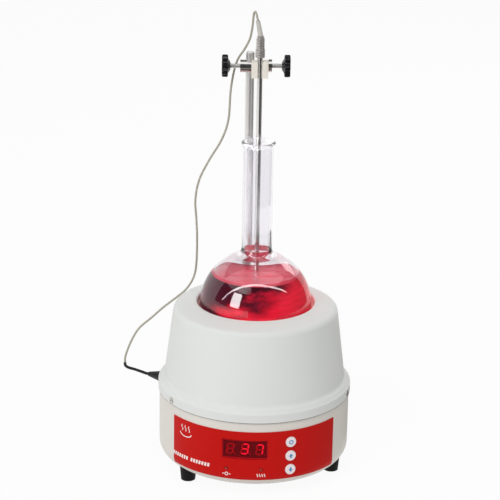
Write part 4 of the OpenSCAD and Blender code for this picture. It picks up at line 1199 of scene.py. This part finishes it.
class MANTLE_OT_flask(bpy.types.Operator):
    """Blown flask with a beaded rim"""
    bl_idname = "mantle.flask"
    bl_label = "Flask"

    def execute(self, context):
        look = context.scene.mantle_flask
        line = flask_line()
        # The rim is fire polished into a round bead that flows into the neck inside and out
        bead = [(NECK_R + 0.05, RIM_Z - 6), (NECK_R + 0.5, RIM_Z - 4.2)]
        bead += arc((RIM_R - RIM_BEAD, RIM_Z - RIM_BEAD), RIM_BEAD, -40, 180, 28)
        bead += [(NECK_R - 1.45, RIM_Z - 3.2), (NECK_R - 1.6, RIM_Z - 5)]
        # The glass is thicker where the neck was joined on
        inner = []
        for p, q in zip(line, inset(line, GLASS)):
            more = math.exp(-((p[1] - JOINT_Z) / (JOINT_ABOVE if p[1] > JOINT_Z else JOINT_BELOW)) ** 2)
            inner.append((q[0] + (q[0] - p[0]) * more, q[1] + (q[1] - p[1]) * more))
        wall = line + bead + list(reversed(inner))
        wall[0] = (0.0, wall[0][1])
        wall[-1] = (0.0, wall[-1][1])
        points, faces = turned(wall, 192)
        clear, rim = self.glass("clear_glass", look.glass, 1.0), self.glass("rim_glass", look.glass, 0.93)
        flask = solid_mesh("flask_glass", points, faces, [clear, rim], "root", ("flask",),
                           face_material=lambda p: int(p.center.z / MM > RIM_Z - 4.4))
        bpy.data.collections["shining_pieces"].objects.link(flask)
        return {"FINISHED"}

    def glass(self, name, c, clear):
        """Blown glass with faint waves; a share below 1 leaves it a little milky."""
        material, tree, shader = new_material(name)
        shader.inputs["Base Color"].default_value = rgba(c)
        shader.inputs["Transmission Weight"].default_value = clear
        shader.inputs["Roughness"].default_value = 0.0
        shader.inputs["IOR"].default_value = 1.47
        add_bump(tree, shader, object_noise(tree, 60.0, 1), 0.05, 0.0004)
        lamps_through(tree, shader, (0.93, 0.94, 0.94, 1))
        return material


class MANTLE_OT_liquid(bpy.types.Operator):
    """Red liquid with a level surface, risen a little where it wets the glass"""
    bl_idname = "mantle.liquid"
    bl_label = "Liquid"

    def execute(self, context):
        look = context.scene.mantle_flask
        # The liquid reaches into the glass a little, so that no gap of air shows between them
        r = FLASK_R - GLASS + 0.3
        rise = LIQUID_TOP - FLASK_Z
        edge = math.degrees(math.asin(rise / r))
        line = arc((0, FLASK_Z), r, -90, edge, 90)
        edge_r = line[-1][0]
        # The surface climbs the glass by a millimetre
        line[-1] = (math.sqrt(r * r - (rise + 1.0) ** 2), LIQUID_TOP + 1.0)
        line += [(edge_r - 0.9, LIQUID_TOP + 0.35), (edge_r - 2.0, LIQUID_TOP + 0.05)]
        line += [(ring_r, LIQUID_TOP) for ring_r in (38, 32, 24, 16, 10)]
        points, faces = turned(line + [(0, LIQUID_TOP)], 160)
        body, surface = self.liquid(look.liquid), self.surface(look.surface)
        liquid = solid_mesh("liquid_body", points, faces, [body, surface], "root", ("liquid",),
                            face_material=lambda p: int(p.center.z / MM > LIQUID_TOP - 0.3))
        creased(liquid, 40)
        return {"FINISHED"}

    def liquid(self, c):
        """Dyed liquid, clear enough for the knitting to show."""
        material, tree, shader = new_material("red_liquid")
        # Painted shade: deeper red streaks to one side and high up, standing for the dark that shows in the
        # liquid there
        slow = object_noise(tree, 34.0, 3, (1, 1, 2.2))
        place, (x, _, z) = object_split(tree)
        side = math_node(tree, "MULTIPLY", x, -18.0)
        high = math_node(tree, "MULTIPLY", math_node(tree, "SUBTRACT", z, 0.166), 38.0)
        lean = math_node(tree, "ADD", side, high)
        share = math_node(tree, "ADD", math_node(tree, "ADD", lean, swing(tree, slow, 3.0)), 0.3, True)
        painted_shade_red = (c[0] * 0.04, c[1] * 0.3, c[2] * 0.3, 1.0)
        # Painted refraction: faint darker bands in the colour stand for the rows of knitting behind, seen
        # through the liquid
        rows = tree.nodes.new("ShaderNodeTexWave")
        rows.bands_direction = "Z"
        for label, value in (("Scale", 66.0), ("Distortion", 7.0), ("Detail", 2.0), ("Detail Scale", 0.6)):
            rows.inputs[label].default_value = value
        tree.links.new(place, rows.inputs["Vector"])
        painted_bands_colour = mix_colour(tree, math_node(tree, "MULTIPLY", rows.outputs[1], 0.36), rgba(c),
                            (c[0] * 0.55, c[1], c[2] * 0.5, 1.0))
        # The painted shade is mixed over the banded colour to give the base colour
        tree.links.new(mix_colour(tree, share, painted_bands_colour, painted_shade_red), shader.inputs["Base Color"])
        shader.inputs["Transmission Weight"].default_value = 0.52
        shader.inputs["Roughness"].default_value = 0.0
        shader.inputs["IOR"].default_value = 1.33
        lamps_through(tree, shader, (1.0, 0.6, 0.62, 1))
        return material

    def surface(self, c):
        """The top of the liquid, paler and lightly rippled."""
        material, tree, shader = new_material("liquid_surface")
        slow = object_noise(tree, 38.0, 2)
        paler = tuple(min(1.0, v * 1.25 + 0.06) for v in c[:3]) + (1.0,)
        tree.links.new(mix_colour(tree, slow, rgba(c), paler), shader.inputs["Base Color"])
        shader.inputs["Transmission Weight"].default_value = 0.6
        shader.inputs["Roughness"].default_value = 0.05
        shader.inputs["IOR"].default_value = 1.25
        add_bump(tree, shader, object_noise(tree, 90.0, 3, (0.6, 1.0, 1.0)), 0.5, 0.007)
        lamps_through(tree, shader, (0.9, 0.35, 0.38, 1))
        return material


# ---------- rod, clamp and probe ----------

class MANTLE_OT_rod(bpy.types.Operator):
    """Polished support rod and the socket that holds it"""
    bl_idname = "mantle.rod"
    bl_label = "Support Rod"

    def execute(self, context):
        look = context.scene.mantle_metal
        rod = metal("polished_rod", look.steel, 0.32, (1, 1, 0.04), 700, 0.015, 0.1)
        # The rod has gone dull where it stands in the heat
        tree = rod.node_tree
        _, (_, _, z) = object_split(tree)
        low = math_node(tree, "MULTIPLY", math_node(tree, "SUBTRACT", (RIM_Z - 6) * MM, z), 30.0, True)
        bright = math_node(tree, "SUBTRACT", 0.75, math_node(tree, "MULTIPLY", low, 0.5))
        tree.links.new(bright, principled(tree).inputs["Metallic"])
        dress("support_rod", rod)
        dress("rod_socket", metal("turned_steel", look.steel, 0.16, (0.1, 0.1, 1), 1200, 0.06, 0.1))
        return {"FINISHED"}


class MANTLE_OT_clamp(bpy.types.Operator):
    """Clamp with polished bosses, a satin block, threaded thumbscrews and star knobs"""
    bl_idname = "mantle.clamp"
    bl_label = "Clamp"

    def execute(self, context):
        look = context.scene.mantle_metal
        bright = metal("bright_boss", look.steel, 0.12, (0.1, 1, 1), 900, 0.04, 0.06)
        black = plastic("knob_black", look.knob, 0.22, constants={"Specular IOR Level": 0.2})
        for node in ("rod_boss", "probe_boss"):
            dress(node, bright)
        for node in ("rod_screw", "probe_screw"):
            dress(node, metal("screw_steel", look.steel, 0.25, (0.1, 1, 1), 900, 0.04, 0.1, 0.6))
        dress("clamp_block", metal("satin_aluminium", look.block, 0.42, (1, 1, 0.05), 800, 0.12, 0.15, 0.1))
        tree, keys = make_thread_tree()
        for body, node, side, x0, y, z in (
                ("rod_thumbscrew", "rod_knob", -1, LEFT_KNOB_X, ROD_Y, CLAMP_Z),
                ("probe_thumbscrew", "probe_knob", 1, RIGHT_KNOB_X, PROBE_Y, PROBE_BOSS_Z)):
            self.knob(body, node, side, x0, y, z, black)
            thread = grown(body + "_thread", tree, keys, {
                "Radius": (SCREW_R - 0.05) * MM, "Pitch": look.thread_pitch * MM, "Length": THREAD_LONG * MM,
                "Ridge": 0.2 * MM, "Material": bright}, None)
            turn = Matrix.Rotation(math.radians(90 * side), 4, "Y")
            start = Vector((x0 - side * 8.7, y, z)) * MM
            thread.data.transform(Matrix.Translation(start) @ turn)
            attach(thread, body)
        return {"FINISHED"}

    def star_line(self, steps):
        """How far the star's edge lies from its axis, all round, with softened valleys between six lobes."""
        lobe_at, lobe_r = 7.4, 3.1
        edge = []
        for i in range(steps):
            best = KNOB_R - 2.6
            for k in range(6):
                d = (2 * math.pi * i / steps - math.pi / 3 * k + math.pi) % (2 * math.pi) - math.pi
                inside = lobe_r ** 2 - (lobe_at * math.sin(d)) ** 2
                if inside > 0 and math.cos(d) > 0:
                    best = max(best, lobe_at * math.cos(d) + math.sqrt(inside))
            edge.append(best)
        return [(edge[i - 1] + 2 * edge[i] + edge[(i + 1) % steps]) / 4 for i in range(steps)]

    def knob(self, body, node, side, x0, y, z, material):
        """A star with rounded lobes, a dished face and a conical hub."""
        steps = 96
        edge = self.star_line(steps)
        # Height, share of the star's edge or None, and plain radius where it is round
        top = KNOB_HUB + KNOB_T
        levels = [(0.0, None, 3.5), (KNOB_HUB * 0.9, None, 6.6), (KNOB_HUB, 0.86, None),
                  (KNOB_HUB + 0.15, 0.94, None), (KNOB_HUB + 0.6, 0.99, None), (KNOB_HUB + 1.2, 1.0, None),
                  (top - 1.2, 1.0, None), (top - 0.6, 0.985, None), (top - 0.12, 0.93, None),
                  (top, 0.84, None), (top, None, 4.6), (top - 0.5, None, 4.1), (top - 0.55, None, 1.6)]
        shift = math.radians(30 if side < 0 else 0)
        points = []
        for h, share, plain in levels:
            for i, r in enumerate(edge):
                a = 2 * math.pi * i / steps + shift
                q = plain if plain is not None else r * share
                points.append((x0 + side * h, y + q * math.cos(a), z + q * math.sin(a)))
        faces = skin(len(levels), steps)
        piece = solid_mesh(node + "_star", points, faces, [material], body, (node,))
        bpy.data.collections["shining_pieces"].objects.link(piece)
        return creased(piece, 50)


class MANTLE_OT_probe(bpy.types.Operator):
    """Probe with a polished sheath, a turned handle and a grey boot"""
    bl_idname = "mantle.probe"
    bl_label = "Probe"

    def execute(self, context):
        look = context.scene.mantle_cable
        steel = context.scene.mantle_metal.steel
        dress("probe_sheath", metal("probe_tube", steel, 0.18, (1, 1, 0.03), 900, 0.05, 0.08))
        handle = finish("turned_handle", "drawn_lines", srgb(222, 217, 212), 0.7, 0.0003, 0.75, Scale=620.0,
                        Stretch=(0.02, 0.02, 1.0), Gloss=0.3, Uneven=0.4)
        dress("probe_handle", handle)
        dress("probe_boot", plastic("grey_boot", look.boot, 0.5, 1500, 0.12))
        return {"FINISHED"}


# ---------- rear fittings and electronics ----------

class MANTLE_OT_rear(bpy.types.Operator):
    """Rear plate with mains inlet, fuse holder and rocker switch, and the probe's socket"""
    bl_idname = "mantle.rear"
    bl_label = "Rear Fittings"

    def execute(self, context):
        black = plastic("moulded_black", srgb(24, 24, 25), 0.4, 1000, 0.15)
        dress("rear_plate", metal("brushed_plate", srgb(190, 190, 192), 0.36, (0.04, 1, 1), 900, 0.12, 0.2))
        for node in ("power_inlet", "fuse_holder", "switch_body", "probe_socket"):
            dress(node, black)
        dress("inlet_pins", metal("turned_brass", srgb(206, 178, 112), 0.25, (1, 0.05, 1), 900))
        dress("power_rocker", plastic("rocker_red", srgb(178, 24, 20), 0.28, 1200, 0.05))
        ink = plastic("rocker_print", srgb(245, 240, 236), 0.45, 2000)
        points, faces = joined(self.rocker_signs())
        creased(solid_mesh("rocker_marks", points, faces, [ink], "power_rocker"), 30)
        return {"FINISHED"}

    def rocker_signs(self):
        """A bar for on above and a ring for off below, on the rocker's round face."""
        def place(x, y, h):
            a, r = y / ROCKER_R - math.radians(ROCKER_TILT), ROCKER_R + 0.02 + PRINT_THICK * h
            return (ROCKER[0] - x, ROCKER[1] + r * math.cos(a), ROCKER[2] + r * math.sin(a))

        bar = [(0, 3.1 + 0.7 * i) for i in range(5)]
        yield ribbon(bar, [0.7] * len(bar), place)
        ring = ring_line(0, -4.4, 1.25, 20)
        yield ribbon(ring, [0.6] * len(ring), place, True)


class MANTLE_OT_electronics(bpy.types.Operator):
    """Boards, transformer and terminals inside the housing"""
    bl_idname = "mantle.electronics"
    bl_label = "Electronics"

    def execute(self, context):
        dress("power_board", bpy.data.materials["circuit_board"])
        dress("board_standoffs", bpy.data.materials["turned_brass"])
        dress("transformer", metal("laminated_core", srgb(96, 96, 100), 0.5, (0.02, 0.02, 1), 900, 0.3, 0.2))
        dress("terminal_block", plastic("terminal_green", srgb(44, 120, 84), 0.4, 900, 0.1))
        return {"FINISHED"}


class MANTLE_PT_panel(bpy.types.Panel):
    bl_idname = "MANTLE_PT_panel"
    bl_label = "Heating Mantle"
    bl_space_type = "VIEW_3D"
    bl_region_type = "UI"
    bl_category = "Heating Mantle"

    def draw(self, context):
        for operator in OPERATORS:
            self.layout.operator(operator.bl_idname)
        for name, group in SETTINGS.items():
            box = self.layout.box()
            for prop in group.__annotations__:
                box.prop(getattr(context.scene, name), prop)


OPERATORS = [
    MANTLE_OT_stage, MANTLE_OT_cable, MANTLE_OT_housing, MANTLE_OT_panel, MANTLE_OT_display, MANTLE_OT_keys,
    MANTLE_OT_heater, MANTLE_OT_flask, MANTLE_OT_liquid, MANTLE_OT_rod, MANTLE_OT_clamp, MANTLE_OT_probe,
    MANTLE_OT_rear, MANTLE_OT_electronics,
]


def register():
    for group in SETTINGS.values():
        bpy.utils.register_class(group)
    for operator in OPERATORS:
        bpy.utils.register_class(operator)
    bpy.utils.register_class(MANTLE_PT_panel)
    for name, group in SETTINGS.items():
        setattr(bpy.types.Scene, name, bpy.props.PointerProperty(type=group))


def unregister():
    for name in SETTINGS:
        delattr(bpy.types.Scene, name)
    for cls in [MANTLE_PT_panel, *reversed(OPERATORS), *SETTINGS.values()]:
        bpy.utils.unregister_class(cls)


def main():
    register()
    for operator in OPERATORS:
        group, name = operator.bl_idname.split(".")
        getattr(getattr(bpy.ops, group), name)()


if __name__ == "__main__":
    main()
